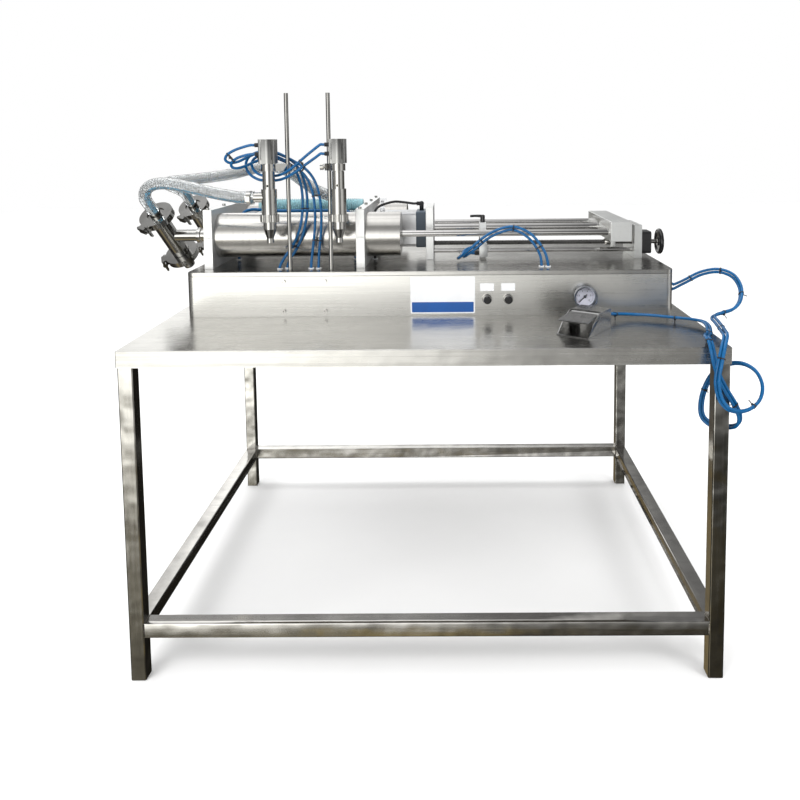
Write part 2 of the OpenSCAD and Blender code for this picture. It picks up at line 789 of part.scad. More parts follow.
module gauge_needle() {
  color(black) gauge_frame() translate([0, 0, gauge_wall + 3]) rotate([0, 0, 225]) difference() {
    union() {
      cylinder(d = 8, h = 3);
      translate([-gauge_d / 8, -1.2, 0.5]) cube([gauge_d / 8 + gauge_d * 0.33, 2.4, 1]);
    }
    translate([0, 0, -eps]) cylinder(d = needle_pin_d + 2 * fit, h = 5);
  }
}

module gauge_lens() {
  color([0.9, 0.95, 1, 0.4]) gauge_frame() translate([0, 0, gauge_depth - 5])
    cylinder(d = gauge_d - 2 * gauge_wall - 2 - 2 * slip, h = 2);
}

// Clamp plates, split on the cylinder axes
module clamp_plate(x, with_air, z0, z1) {
  difference() {
    box([x, plate_y0, z0], [x + plate_t, plate_y1, z1]);
    for (y = rows) rod_x(x - eps, x + plate_t + eps, y, axis_z, cyl_od + 2 * slip);
    if (with_air)
      translate([x + plate_t / 2, air_y, axis_z]) rotate([0, 90, 0])
        linear_extrude(plate_t + 2 * eps, center = true) rounded(air_side + 2 * slip, air_side + 2 * slip, 10);
    for (y = bolt_ys) translate([x + plate_t / 2, y, axis_z - 30]) cylinder(d = bolt_d + 2 * slip, h = 200);
  }
}

module clamp_plates_lower() {
  color(plate_white) clamp_plate(plate1_x, false, lid_z, axis_z);
  color(plate_white) clamp_plate(plate2_x, true, lid_z, axis_z);
}

module clamp_plates_upper() {
  color(plate_white) clamp_plate(plate1_x, false, axis_z, axis_z + plate_top);
  color(plate_white) clamp_plate(plate2_x, true, axis_z, axis_z + plate_top);
}

module socket_screw(length) {
  difference() {
    union() {
      translate([0, 0, -length]) cylinder(d = bolt_d, h = length + eps);
      cylinder(d = bolt_head_d, h = bolt_d);
    }
    translate([0, 0, bolt_d / 2]) cylinder(d = bolt_d, h = bolt_d, $fn = 6);
  }
}

module socket_screws() {
  color(steel) for (x = [plate1_x, plate2_x], y = bolt_ys)
    translate([x + plate_t / 2, y, axis_z + plate_top]) socket_screw(plate_top + 28);
  color(steel) for (x = post_xs, z = screw_zs)
    on_front(x + socket_screw_dx, z) socket_screw(casing_t + 13);
}

// Product cylinders
module product_cylinders() {
  color(steel) for (y = rows) pipe_x(cyl_x0, cyl_x1, y, axis_z, cyl_od, cyl_bore);
}

module cylinder_heads() {
  color(steel) for (y = rows) difference() {
    union() {
      rod_x(plate1_x, cyl_x0, y, axis_z, cyl_od);
      rod_x(cyl_x0 - eps, cyl_x0 + 8, y, axis_z, cyl_bore - 2 * slip);
      rod_x(pipe_x, plate1_x + eps, y, axis_z, pipe_od);
      rod_x(pipe_x, pipe_x + 5, y, axis_z, pipe_od + 10);
    }
    rod_x(pipe_x - eps, cyl_x0 + 10, y, axis_z, pipe_od - 8);
  }
}

module rod_guides() {
  color(steel) for (y = rows) difference() {
    union() {
      rod_x(cyl_x1 - 12, cyl_x1 + eps, y, axis_z, cyl_bore - 2 * slip);
      rod_x(cyl_x1, cyl_x1 + guide_l, y, axis_z, cyl_od);
    }
    rod_x(cyl_x1 - 20, cyl_x1 + guide_l + eps, y, axis_z, rod_d + 2 * fit);
  }
}

// Pistons with two seal rings each
module pistons() {
  groove_d = cyl_bore - 10;
  grooves = [piston_x0 + 8, piston_x1 - 14];
  color(steel) for (y = rows) difference() {
    rod_x(piston_x0, piston_x1, y, axis_z, cyl_bore - 2 * free_gap);
    for (x = grooves) pipe_x(x, x + 6, y, axis_z, cyl_bore + 4, groove_d);
  }
  color("white") for (y = rows, x = grooves)
    pipe_x(x + slip, x + 6 - slip, y, axis_z, cyl_bore - 2 * slip, groove_d + 2 * slip);
}

module piston_rods() {
  color(polished) for (y = rows) rod_x(piston_x1, cross_x0 + socket_depth - 1, y, axis_z, rod_d);
}

// Air cylinder
module air_barrel() {
  color([0.78, 0.79, 0.81]) difference() {
    translate([barrel_x0 + barrel_l / 2, air_y, axis_z]) rotate([0, 90, 0])
      linear_extrude(barrel_l, center = true) rounded(air_side, air_side, 10);
    rod_x(barrel_x0 - eps, cap_x + eps, air_y, axis_z, air_bore);
  }
}

module air_end_caps() {
  color([0.25, 0.27, 0.29]) for (x = [barrel_x0 - cap_l, cap_x]) difference() {
    translate([x + cap_l / 2, air_y, axis_z]) rotate([0, 90, 0])
      linear_extrude(cap_l, center = true) rounded(cap_side, cap_side, 6);
    if (x == cap_x) rod_x(x - eps, x + cap_l + eps, air_y, axis_z, air_rod_d + 2 * fit);
  }
}

module air_rod() {
  seat_x = air_piston_x1 - 15;
  color(polished) rod_x(seat_x + slip, cross_x0 + socket_depth - 1, air_y, axis_z, air_rod_d);
  color(steel) difference() {
    rod_x(air_piston_x1 - air_piston_l, air_piston_x1, air_y, axis_z, air_bore - 2 * free_gap);
    rod_x(seat_x, air_piston_x1 + eps, air_y, axis_z, air_rod_d + 2 * slip);
  }
}

module screw_plate(x, height) {
  y0 = air_y - screw_plate_w / 2 - 15;
  difference() {
    box([x, y0, lid_z], [x + screw_plate_t, y0 + screw_plate_w, lid_z + height]);
    rod_x(x - eps, x + screw_plate_t + eps, screw_y, rail_z, rail_d + 2 * slip);
    children();
  }
}

module drive_plate() {
  color(plate_white) screw_plate(plate3_x, drive_plate_h) {
    rod_x(plate3_x - eps, plate3_x + screw_plate_t + eps, air_y, axis_z, air_rod_d + 6);
    rod_x(plate3_x + 4, plate3_x + screw_plate_t + eps, screw_y, screw_z, tip_journal_d + 2 * fit);
  }
}

module end_plate() {
  color(plate_white) screw_plate(plate4_x, end_plate_h)
    rod_x(plate4_x - eps, plate4_x + screw_plate_t + eps, screw_y, screw_z, journal_d + 2 * fit);
}

module carriage_rail() {
  color(polished) rod_x(plate3_x, plate4_x + screw_plate_t, screw_y, rail_z, rail_d);
}

// Crosshead that ties the three rods, with a tab that trips the stop carriage's valve
module crosshead() {
  tab_y = carriage_y0 - 9;
  color([0.80, 0.81, 0.82]) difference() {
    union() {
      box([cross_x0, cross_y0, cross_z0], [cross_x1, cross_y1, cross_z0 + cross_h]);
      box([cross_x0 + 20, tab_y, lid_z + 36], [cross_x0 + 35, tab_y + 12, cross_z0 + eps]);
    }
    for (y = rows) rod_x(cross_x0 - eps, cross_x0 + socket_depth, y, axis_z, rod_d + 2 * slip);
    rod_x(cross_x0 - eps, cross_x0 + socket_depth, air_y, axis_z, air_rod_d + 2 * slip);
  }
}

// Stroke screw with its collar, turned by the handwheel
module stroke_screw() {
  collar_x = cross_x0 + 6;
  color([0.35, 0.35, 0.36]) {
    rod_x(plate3_x + 6, plate3_x + screw_plate_t + 2, screw_y, screw_z, tip_journal_d);
    rod_x(plate3_x + screw_plate_t + 1, plate4_x - 1, screw_y, screw_z, screw_d);
    rod_x(collar_x, collar_x + 22, screw_y, screw_z, screw_d + 5);
    rod_x(plate4_x - 2, wheel_x - 4, screw_y, screw_z, journal_d);
    rod_x(wheel_x - 5, wheel_x + wheel_t - 4, screw_y, screw_z, tip_journal_d);
  }
}

module handwheel() {
  r = wheel_d / 2;
  rim = wheel_t / 2;
  color(black) difference() {
    translate([wheel_x, screw_y, screw_z]) rotate([0, 90, 0]) rotate_extrude() union() {
      square([14, wheel_t]);
      translate([0, 4]) square([r - rim, 6]);
      translate([r - rim, wheel_t / 2]) circle(rim);
    }
    rod_x(wheel_x - eps, wheel_x + wheel_t - 3, screw_y, screw_z, tip_journal_d + 2 * fit);
  }
}

module screw_housing() {
  h0 = screw_z - lid_z - 4;
  color(black) difference() {
    translate([housing_x, screw_y, screw_z]) rotate([0, 90, 0]) linear_extrude(housing_l)
      rounded(2 * min(housing_w / 2, h0), housing_w, 8);
    rod_x(housing_x - eps, housing_x + housing_l + eps, screw_y, screw_z, journal_d + 2 * fit);
    rod_x(housing_x - eps, housing_x + 3, screw_y, rail_z, rail_d + 4);
  }
}

// Stop carriage on the screw and the rail
module stop_carriage() {
  color(plate_white) difference() {
    union() {
      box([carriage_x, carriage_y0, lid_z + 5], [carriage_x + carriage_t, carriage_y1, lid_z + 88]);
      box([carriage_x, carriage_y0 + 12, lid_z + 87], [carriage_x + carriage_t, carriage_y1 - 12, carriage_z1]);
    }
    rod_x(carriage_x - eps, carriage_x + carriage_t + eps, screw_y, screw_z, screw_d + 2 * free_gap);
    rod_x(carriage_x - eps, carriage_x + carriage_t + eps, screw_y, rail_z, rail_d + 2 * fit);
    translate([lever_x, screw_y, carriage_z1 - 20]) cylinder(d = lever_pin_d + 2 * fit, h = 30);
  }
}

// Limit valve on the carriage, with two push-in ports and a plunger
module limit_valve() {
  color([0.20, 0.20, 0.22]) {
    box([carriage_x - 2, limit_y0, lid_z + 10], [carriage_x + carriage_t + 2, carriage_y0, lid_z + 50]);
    for (z = limit_z) rod_x(carriage_x - 2 - port_l, carriage_x - 1, limit_y0 + 13, z, port_d);
    rod_x(carriage_x + carriage_t + 1, carriage_x + carriage_t + 12, limit_y0 + 13, lid_z + 38, 8);
  }
}

module lock_lever() {
  color(black) translate([lever_x, screw_y, carriage_z1]) {
    translate([0, 0, -16]) cylinder(d = lever_pin_d, h = 20);
    translate([0, 0, 0.5]) cylinder(d = 16, h = 20);
    translate([-36, -4.5, 15]) cube([36, 9, 9]);
    translate([-36, 0, 15]) cylinder(d = 9, h = 9);
  }
}

// Push-in fittings on the air cylinder, the casing's end and the lid
module air_fittings() {
  cap_top = axis_z + cap_side / 2;
  color(black) translate([cap_x + cap_l / 2, air_y, cap_top]) {
    cylinder(d = 14, h = 16);
    translate([0, 0, 22]) sphere(d = 16);
    translate([-16, 0, 22]) rotate([0, 90, 0]) cylinder(d = 13, h = 16);
    translate([0, 0, 14]) cylinder(d = 14, h = 8);
  }
  color("white") translate([plate2_x + plate_t + 32, air_y, axis_z + air_side / 2]) {
    cylinder(d = 16, h = 14);
    translate([0, 0, 13]) cylinder(d = 11, h = 22);
    translate([-7, -7, 34]) cube([20, 14, 10]);
  }
  color(polished) for (p = end_ports()) rod_x(p[0] - 20, p[0] + port_l, p[1], p[2], port_d);
  color("white") for (g = grommets) translate([g[0], g[1], lid_z - lid_t]) difference() {
    union() {
      cylinder(d = grommet_d() - 2 * slip, h = lid_t + 1);
      translate([0, 0, lid_t]) cylinder(d = grommet_d() + 3, h = 3);
    }
    translate([0, 0, -eps]) cylinder(d = 11, h = lid_t + 6);
  }
}

// Check valves: a leaning branch on a short pipe, with two seat plates
module seat_plate(s) {
  translate([0, 0, s]) difference() {
    cylinder(d = valve_bore + 2, h = seat_t);
    translate([0, 0, -eps]) cylinder(d = poppet_stem_d + 2 * fit, h = seat_t + 2 * eps);
    for (a = [0 : 90 : 270]) rotate([0, 0, a]) translate([12, 0, -eps]) cylinder(d = 10, h = seat_t + 2 * eps);
  }
}

module valve_bodies() {
  color(polished) for (y = rows) {
    difference() {
      union() {
        valve_frame(y) {
          translate([0, 0, -valve_half]) cylinder(d = valve_od, h = 2 * valve_half);
          for (s = [-valve_half, valve_half - flange_t])
            translate([0, 0, s]) cylinder(d = flange_od, h = flange_t);
        }
        rod_x(valve_x, pipe_x, y, axis_z, pipe_od);
        rod_x(pipe_x - 5, pipe_x, y, axis_z, pipe_od + 10);
      }
      valve_frame(y) translate([0, 0, -valve_half - eps])
        cylinder(d = valve_bore, h = 2 * valve_half + 2 * eps);
      rod_x(valve_x, pipe_x + eps, y, axis_z, pipe_od - 8);
    }
    valve_frame(y) for (s = [seat_at, -seat_at - seat_t - poppet_t - poppet_lift]) seat_plate(s);
  }
}

// Clamp ring over a pair of flanges, with its bolt and wing nut
module clamp_ring() {
  ring_h = 2 * flange_t + 8;
  lug = 12;
  difference() {
    union() {
      translate([0, 0, -ring_h / 2]) cylinder(d = clamp_od, h = ring_h);
      translate([-clamp_od / 2 - 14, -lug - 1, -ring_h / 2]) cube([20, 2 * lug + 2, ring_h]);
    }
    translate([0, 0, -ring_h]) cylinder(d = valve_od + 3, h = 2 * ring_h);
    translate([0, 0, -flange_t - slip]) cylinder(d = flange_od + 2 * slip, h = 2 * flange_t + 2 * slip);
    translate([-clamp_od / 2 - 6, -30, 0]) rotate([-90, 0, 0]) cylinder(d = 8 + 2 * slip, h = 60);
  }
  translate([-clamp_od / 2 - 6, 0, 0]) rotate([-90, 0, 0]) {
    translate([0, 0, -30]) cylinder(d = 8, h = 44 + lug);
    translate([0, 0, lug + 1 + slip]) cylinder(d = 14, h = 7);
    difference() {
      union() {
        translate([0, 0, -lug - 14]) cylinder(d = 15, h = 13 - slip);
        translate([-2.5, -20, -lug - 18]) cube([5, 40, 11]);
      }
      translate([0, 0, -40]) cylinder(d = 8 + 2 * slip, h = 60);
    }
  }
}

module valve_clamps() {
  color(steel) for (y = rows) valve_frame(y) {
    translate([0, 0, valve_half]) rotate([0, 0, 60]) clamp_ring();
    translate([0, 0, -valve_half]) rotate([0, 0, 20]) clamp_ring();
  }
}

// Hose tail on a flange: plain neck, then a barb with ridges
module hose_tail(barb, neck) {
  top = flange_t + tail_neck_l + tail_l;
  ridge = 10;
  color(polished) difference() {
    rotate_extrude() union() {
      square([flange_od / 2, flange_t]);
      square([neck / 2, flange_t + tail_neck_l]);
      square([barb / 2 - 1, top]);
      for (k = [0 : 2])
        translate([0, flange_t + tail_neck_l + 1 + k * ridge])
          polygon([[0, 0], [barb / 2, 0], [barb / 2 - 1, ridge - 2], [0, ridge - 2]]);
    }
    translate([0, 0, -eps]) cylinder(d = barb - 6, h = top + 2 * eps);
  }
}

module hose_tails() {
  for (y = rows) valve_frame(y) {
    translate([0, 0, valve_half]) hose_tail(barb_d, tail_neck_d);
    mirror([0, 0, 1]) translate([0, 0, valve_half]) hose_tail(suction_id - 2 * slip, inlet_neck_d);
  }
}

module poppet(s) {
  translate([0, 0, s]) {
    translate([0, 0, 0.2]) cylinder(d = poppet_d, h = poppet_t);
    translate([0, 0, -seat_t - 10]) cylinder(d = poppet_stem_d, h = seat_t + 11);
  }
}

module outlet_poppets() {
  color(steel) for (y = rows) valve_frame(y) poppet(seat_at + seat_t);
}

module inlet_poppets() {
  color(steel) for (y = rows) valve_frame(y) poppet(-seat_at - poppet_t - poppet_lift);
}

// Nozzles and posts
module nozzle_posts() {
  color(polished) for (x = post_xs)
    translate([x, post_y, socket_z0 + 6]) cylinder(d = post_d, h = lid_z + post_h - socket_z0 - 6);
}

module nozzle_clamp(i, screw_angle) {
  post = [post_xs[i] - nozzle_xs[i], post_y - nozzle_y];
  reach = norm(post);
  boss_d = post_d + 14;
  color(steel) translate([nozzle_xs[i], nozzle_y, clamp_z]) {
    difference() {
      linear_extrude(clamp_t) difference() {
        union() {
          circle(d = neck_d + 14);
          translate(post) circle(d = boss_d);
          rotate(atan2(post[1], post[0])) translate([0, -12]) square([reach, 24]);
        }
        circle(d = neck_d + 2 * slip);
        translate(post) circle(d = post_d + 2 * fit);
      }
      translate([post[0], post[1], clamp_t / 2]) rotate([0, 90, screw_angle])
        translate([0, 0, post_d / 2 - 2]) cylinder(d = 6 + 2 * slip, h = boss_d);
    }
    translate([post[0], post[1], clamp_t / 2]) rotate([0, 90, screw_angle]) {
      translate([0, 0, post_d / 2 + free_gap]) cylinder(d = 6, h = boss_d / 2 - post_d / 2 + 4);
      translate([0, 0, boss_d / 2 + 1]) cylinder(d = 10, h = 4);
      translate([0, 0, boss_d / 2 + 4]) cylinder(d = 18, h = 9);
    }
  }
}

// Square air cylinder with sensor grooves and two push-in ports
module nozzle_actuator(i) {
  h = flange_l + actuator_h;
  color(polished) translate([nozzle_xs[i], nozzle_y, flange_z]) difference() {
    union() {
      linear_extrude(h) rounded(actuator_w, actuator_w, 4);
      for (z = port_zs)
        translate([-actuator_w / 2 - port_l, 0, z - flange_z]) rotate([0, 90, 0])
          cylinder(d = port_d, h = port_l + eps);
    }
    translate([0, 0, flange_l + 4]) cylinder(d = chamber_d, h = actuator_h - 10);
    translate([0, 0, -eps]) cylinder(d = stem_d + 2 * fit, h = flange_l + 10);
    for (a = [0 : 90 : 270], s = [-1, 1])
      rotate([0, 0, a]) translate([actuator_w / 2 - 1.5, s * actuator_w * 0.33 - 1.5, flange_l])
        cube([5, 3, actuator_h + eps]);
  }
}

module nozzle_body(i) {
  z = inlet_z[i];
  dir = unit(inlet_dir[i]);
  color(polished) difference() {
    union() {
      translate([nozzle_xs[i], nozzle_y, 0]) {
        translate([0, 0, body_z - 5]) cylinder(d = nozzle_d - 4, h = 6);
        translate([0, 0, body_z]) cylinder(d = nozzle_d, h = body_l);
        translate([0, 0, adapter_z - eps]) cylinder(d = adapter_d, h = adapter_l + eps);
        translate([0, 0, neck_z - eps]) cylinder(d = neck_d, h = neck_l + eps);
      }
      aim(inlet_point(i, 0), dir) {
        cylinder(d = hose_od - 5, h = nozzle_d / 2 + barb_neck_l);
        cylinder(d = barb_d, h = nozzle_d / 2 + barb_neck_l + barb_l);
      }
    }
    aim(inlet_point(i, 0), dir) cylinder(d = barb_d - 6, h = nozzle_d / 2 + barb_neck_l + barb_l + eps);
    translate([nozzle_xs[i], nozzle_y, 0]) {
      translate([0, 0, body_z - 6]) cylinder(d = nozzle_d - 14, h = body_l - 8);
      translate([0, 0, body_z]) cylinder(d = stem_d + 2 * fit, h = 200);
      translate([0, 0, adapter_z + 10]) rotate([90, 0, 0]) cylinder(d = 7, h = adapter_d);
    }
  }
  // Worm-drive band round the hose on its barb
  color(steel) aim(inlet_point(i, inlet_start(i) + 8), dir) {
    difference() {
      cylinder(d = hose_od + 3, h = 12);
      translate([0, 0, -eps]) cylinder(d = hose_od + 2 * slip, h = 12 + 2 * eps);
    }
    translate([-4, hose_od / 2 + 0.5, 0]) cube([14, 8, 12]);
  }
}

module nozzle_tip(i) {
  flange_d = nozzle_d - 4;
  color(polished) translate([nozzle_xs[i], nozzle_y, 0]) {
    difference() {
      translate([0, 0, tip_z]) rotate_extrude() difference() {
        polygon([
          [0, 0], [spout_d / 2, 0], [spout_d / 2, spout_l], [taper_d / 2, spout_l + taper_l * 0.55],
          [taper_d / 2, spout_l + taper_l + 12], [flange_d / 2, spout_l + taper_l + 12],
          [flange_d / 2, spout_l + taper_l + 16], [0, spout_l + taper_l + 16],
        ]);
        polygon([
          [0, spout_l], [spout_d / 2 - 3, spout_l], [taper_d / 2 - 4, spout_l + taper_l * 0.55 + 2],
          [taper_d / 2 - 4, 100], [0, 100],
        ]);
      }
      translate([0, 0, tip_z - eps]) cylinder(d = stem_d + 2.2, h = spout_l + 2 * eps);
    }
    difference() {
      translate([0, 0, nut_z]) cylinder(d = nut_d, h = nut_l);
      translate([0, 0, nut_z - eps]) cylinder(d = taper_d + 2 * slip, h = nut_l + 2 * eps);
      translate([0, 0, nut_z + 12 - slip]) cylinder(d = flange_d + 2 * slip, h = nut_l);
    }
  }
}

// Stem that shuts the spout, with the air piston at its top
module nozzle_stem(i) {
  piston_z = flange_z + flange_l + 5;
  color(steel) translate([nozzle_xs[i], nozzle_y, 0]) {
    translate([0, 0, tip_z + 2]) cylinder(d = stem_d + 1.6, h = spout_l - 3);
    translate([0, 0, tip_z + spout_l - 2]) cylinder(d = stem_d, h = piston_z - tip_z - spout_l + 3);
    translate([0, 0, piston_z]) cylinder(d = chamber_d - 2 * free_gap, h = 12);
  }
}

module nozzle_left_clamp() {
  nozzle_clamp(0, 0);
}

module nozzle_left_actuator() {
  nozzle_actuator(0);
}

module nozzle_left_body() {
  nozzle_body(0);
}

module nozzle_left_tip() {
  nozzle_tip(0);
}

module nozzle_left_stem() {
  nozzle_stem(0);
}

module nozzle_right_clamp() {
  nozzle_clamp(1, 180);
}

module nozzle_right_actuator() {
  nozzle_actuator(1);
}

module nozzle_right_body() {
  nozzle_body(1);
}

module nozzle_right_tip() {
  nozzle_tip(1);
}

module nozzle_right_stem() {
  nozzle_stem(1);
}

// Hoses and tubes
function hose_route(y, i, mid) = concat(
  [for (s = [1, 14, 27, 38]) valve_point(y, tail_start + s)],
  placed(mid, base_at),
  [for (s = [44, 31, 15, 0]) inlet_point(i, inlet_start(i) + s)]
);

module product_hose(route) {
  color(hose_clear) sweep_hollow(spline(route, 2), [0, 1, 0.2], hose_od / 2, hose_id / 2, 12);
}

module product_hose_front() {
  product_hose(hose_route(front_y, 0, hose_front_mid));
}

module product_hose_rear() {
  product_hose(hose_route(rear_y, 1, hose_rear_mid));
}

// Spare ribbed suction hose lying on the air cylinder
module suction_hose() {
  ribs = floor((suction_l - 2 * suction_od) / rib_pitch);
  x0 = (suction_l - ribs * rib_pitch) / 2;
  low = suction_od / 2 - 1.5;
  color(hose_clear) translate([suction_x0, air_y, axis_z + air_side / 2 + suction_od / 2]) rotate([0, 90, 0])
    rotate_extrude() polygon(concat(
      [[suction_id / 2, 0], [low, 0]],
      [
        for (k = [0 : ribs - 1])
          each [
            [low, x0 + k * rib_pitch],
            [suction_od / 2, x0 + (k + 0.3) * rib_pitch],
            [suction_od / 2, x0 + (k + 0.6) * rib_pitch],
            [low, x0 + (k + 0.9) * rib_pitch],
          ]
      ],
      [[low, suction_l], [suction_id / 2, suction_l]]
    ));
}

function actuator_port(i, k) = [nozzle_xs[i] - actuator_w / 2 - port_l - slip, nozzle_y, port_zs[k]];

module air_tube(route, n) {
  color(tube_blue) sweep(spline(route, n), [0.3, 1, 0.2], tube_d / 2, 8);
}

function from_port(i, k, route, hole) =
  let (p = actuator_port(i, k))
  concat([p, p - [6, 0, 0], p - [12, 0, 0]], placed(route, base_at), into_lid(hole));

module nozzle_tubes() {
  air_tube(from_port(0, 1, left_tube_a, 0), 2);
  air_tube(from_port(0, 0, left_tube_b, 1), 2);
  air_tube(from_port(1, 0, right_tube_a, 2), 2);
  air_tube(from_port(1, 1, right_tube_b, 3), 2);
}

function to_limit(hole, route, k) =
  let (p = [carriage_x - 2 - port_l - slip, limit_y0 + 13, limit_z[k]])
  concat(out_of_lid(hole), placed(route, base_at), [p - [14, 0, 0], p - [7, 0, 0], p]);

module carriage_tubes() {
  air_tube(to_limit(4, carriage_tube_a, 1), 2);
  air_tube(to_limit(5, carriage_tube_b, 0), 2);
}

// Twin tubes from the pedal, looped round the table's right front corner to the casing's end
function pedal_line() =
  let (
    a = pedal_point([0, pedal_l / 2 + port_l + slip, pedal_port_z]),
    out = turn_z([0, 1, 0], pedal_yaw),
    b = [base_x0 + base_l + port_l + slip, end_port_y, end_port_z],
    table_at = [base_at[0], base_at[1], table_h - 850]
  )
  spline(concat(
    [a, a + 5 * out, a + 10 * out], placed(pedal_out, table_at), placed(pedal_hang, edge_at),
    placed(pedal_back, end_at), [b + [10, 0, 0], b + [5, 0, 0], b]
  ), 2);

module pedal_tubes() {
  side = turn_z([1, 0, 0], pedal_yaw);
  color(tube_blue) for (s = [-1, 1])
    sweep(twin(pedal_line(), side, [0, 0, 1], s, pedal_port_dx / 2), side, tube_d / 2, 8);
}

// Supply tube along the air cylinder and the black tube to its cap
module machine_tubes() {
  elbow = [cap_x + cap_l / 2 - 16 - slip, air_y, axis_z + cap_side / 2 + 22];
  color(tube_blue) sweep(
    spline(concat(out_of_lid(6), placed(supply_route, axis_at), into_lid(7)), 2),
    [0.3, 1, 0.2], supply_d / 2, 8
  );
  color(black) sweep(
    spline(concat(
      [elbow, elbow - [6, 0, 0], elbow - [12, 0, 0]], placed(black_route, axis_at), into_lid(8)
    ), 2),
    [0.3, 1, 0.2], black_d / 2, 8
  );
}

// Foot pedal
module pedal_housing() {
  half_w = pedal_w / 2;
  half_l = pedal_l / 2;
  color(polished) pedal_frame() {
    difference() {
      union() {
        translate([-half_w, -half_l, 0]) cube([pedal_w, pedal_l, pedal_t]);
        for (x = [-half_w, half_w - pedal_t])
          translate([x, 0, 0]) rotate([90, 0, 90]) linear_extrude(pedal_t)
            polygon([[-half_l, 0], [half_l, 0], [half_l, pedal_h], [-2, pedal_h], [-half_l + 34, 32]]);
        translate([-half_w, half_l - pedal_t, 0]) cube([pedal_w, pedal_t, pedal_h]);
        translate([-half_w, 16, pedal_h - pedal_t]) cube([pedal_w, half_l - 16, pedal_t]);
      }
      translate([-half_w - eps, pivot_y, pivot_z]) rotate([0, 90, 0])
        cylinder(d = pin_d + 2 * slip, h = pedal_w + 2 * eps);
      for (s = [-1, 1])
        translate([s * pedal_port_dx, half_l - pedal_t - eps, pedal_port_z]) rotate([-90, 0, 0])
          cylinder(d = port_d + 2 * slip, h = pedal_t + 2 * eps);
    }
    translate([-half_w - 2, pivot_y, pivot_z]) rotate([0, 90, 0]) cylinder(d = pin_d, h = pedal_w + 4);
  }
}

module pedal_treadle() {
  w = pedal_w - 2 * pedal_t - 2;
  length = pedal_l / 2 + 6;
  slope = 6;
  color(polished) pedal_frame() translate([-w / 2, pivot_y, pivot_z]) rotate([90, 0, 90]) linear_extrude(w)
    difference() {
      union() {
        circle(d = pin_d + 7);
        rotate(slope) {
          translate([-length, 1]) square([length, 4]);
          for (k = [0 : 8]) translate([-length + 4 + k * 8, 4]) square([4, 2.5]);
        }
      }
      circle(d = pin_d + 2 * fit);
    }
}

table_top();
table_rails();
table_legs();
base_casing();
base_lid();
post_sockets();
panel_plates();
selector_knob_left();
selector_knob_right();
air_valves();
gauge_case();
gauge_needle();
gauge_lens();
clamp_plates_lower();
clamp_plates_upper();
socket_screws();
product_cylinders();
cylinder_heads();
rod_guides();
pistons();
piston_rods();
air_barrel();
air_end_caps();
air_rod();
drive_plate();
end_plate();
carriage_rail();
crosshead();
stroke_screw();
handwheel();
screw_housing();
stop_carriage();
limit_valve();
lock_lever();
air_fittings();
valve_bodies();
valve_clamps();
hose_tails();
outlet_poppets();
inlet_poppets();
nozzle_posts();
nozzle_left_clamp();
nozzle_left_actuator();
nozzle_left_body();
nozzle_left_tip();
nozzle_left_stem();
nozzle_right_clamp();
nozzle_right_actuator();
nozzle_right_body();
nozzle_right_tip();
nozzle_right_stem();
product_hose_front();
product_hose_rear();
suction_hose();
nozzle_tubes();
carriage_tubes();
pedal_tubes();
machine_tubes();
pedal_housing();
pedal_treadle();
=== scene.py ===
import json
import math

import bmesh
import bpy
import numpy as np
from mathutils import Matrix, Vector


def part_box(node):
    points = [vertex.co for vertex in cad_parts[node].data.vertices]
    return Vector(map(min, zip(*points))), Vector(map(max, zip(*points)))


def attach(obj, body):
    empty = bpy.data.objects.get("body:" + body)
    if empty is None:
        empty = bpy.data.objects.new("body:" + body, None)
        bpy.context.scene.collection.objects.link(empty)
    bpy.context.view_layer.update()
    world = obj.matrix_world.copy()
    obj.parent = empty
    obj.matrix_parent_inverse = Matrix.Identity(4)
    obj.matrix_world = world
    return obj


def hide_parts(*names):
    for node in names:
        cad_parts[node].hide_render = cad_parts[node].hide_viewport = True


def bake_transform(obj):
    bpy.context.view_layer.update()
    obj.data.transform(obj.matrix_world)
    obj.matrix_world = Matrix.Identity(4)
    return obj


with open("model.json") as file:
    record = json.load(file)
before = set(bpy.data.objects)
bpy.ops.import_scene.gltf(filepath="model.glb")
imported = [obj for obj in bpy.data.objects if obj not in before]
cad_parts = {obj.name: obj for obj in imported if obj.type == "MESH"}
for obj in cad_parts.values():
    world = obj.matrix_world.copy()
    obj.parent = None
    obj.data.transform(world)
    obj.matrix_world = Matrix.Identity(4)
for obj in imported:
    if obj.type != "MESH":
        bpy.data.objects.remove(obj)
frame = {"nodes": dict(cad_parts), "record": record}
NODE = frame["nodes"]
BODIES = frame["record"]["behaviour"]["bodies"]
BODY = {n: b for b, members in BODIES.items() for n in members}
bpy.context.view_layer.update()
scene = bpy.context.scene

# Camera, solved from the table's corners in the photograph
yaw, pitch, roll = (math.radians(v) for v in (-0.3448, 4.9575, -0.4916))
forward = Vector((math.sin(yaw) * math.cos(pitch), math.cos(yaw) * math.cos(pitch), -math.sin(pitch)))
level = Vector((math.cos(yaw), -math.sin(yaw), 0))
above = level.cross(forward)
right = math.cos(roll) * level + math.sin(roll) * above
up = math.cos(roll) * above - math.sin(roll) * level
cam = bpy.data.objects.new("camera", bpy.data.cameras.new("camera"))
scene.collection.objects.link(cam)
cam.matrix_world = Matrix((
    (right.x, up.x, -forward.x, 0.1328),
    (right.y, up.y, -forward.y, -2.3835),
    (right.z, up.z, -forward.z, 1.3469),
    (0, 0, 0, 1),
))
cam.data.sensor_fit = "HORIZONTAL"
cam.data.sensor_width = 36
cam.data.lens = 34.284
cam.data.shift_x = -0.0600
cam.data.shift_y = -0.2380
cam.data.clip_start = 0.05
cam.data.clip_end = 100
scene.camera = cam


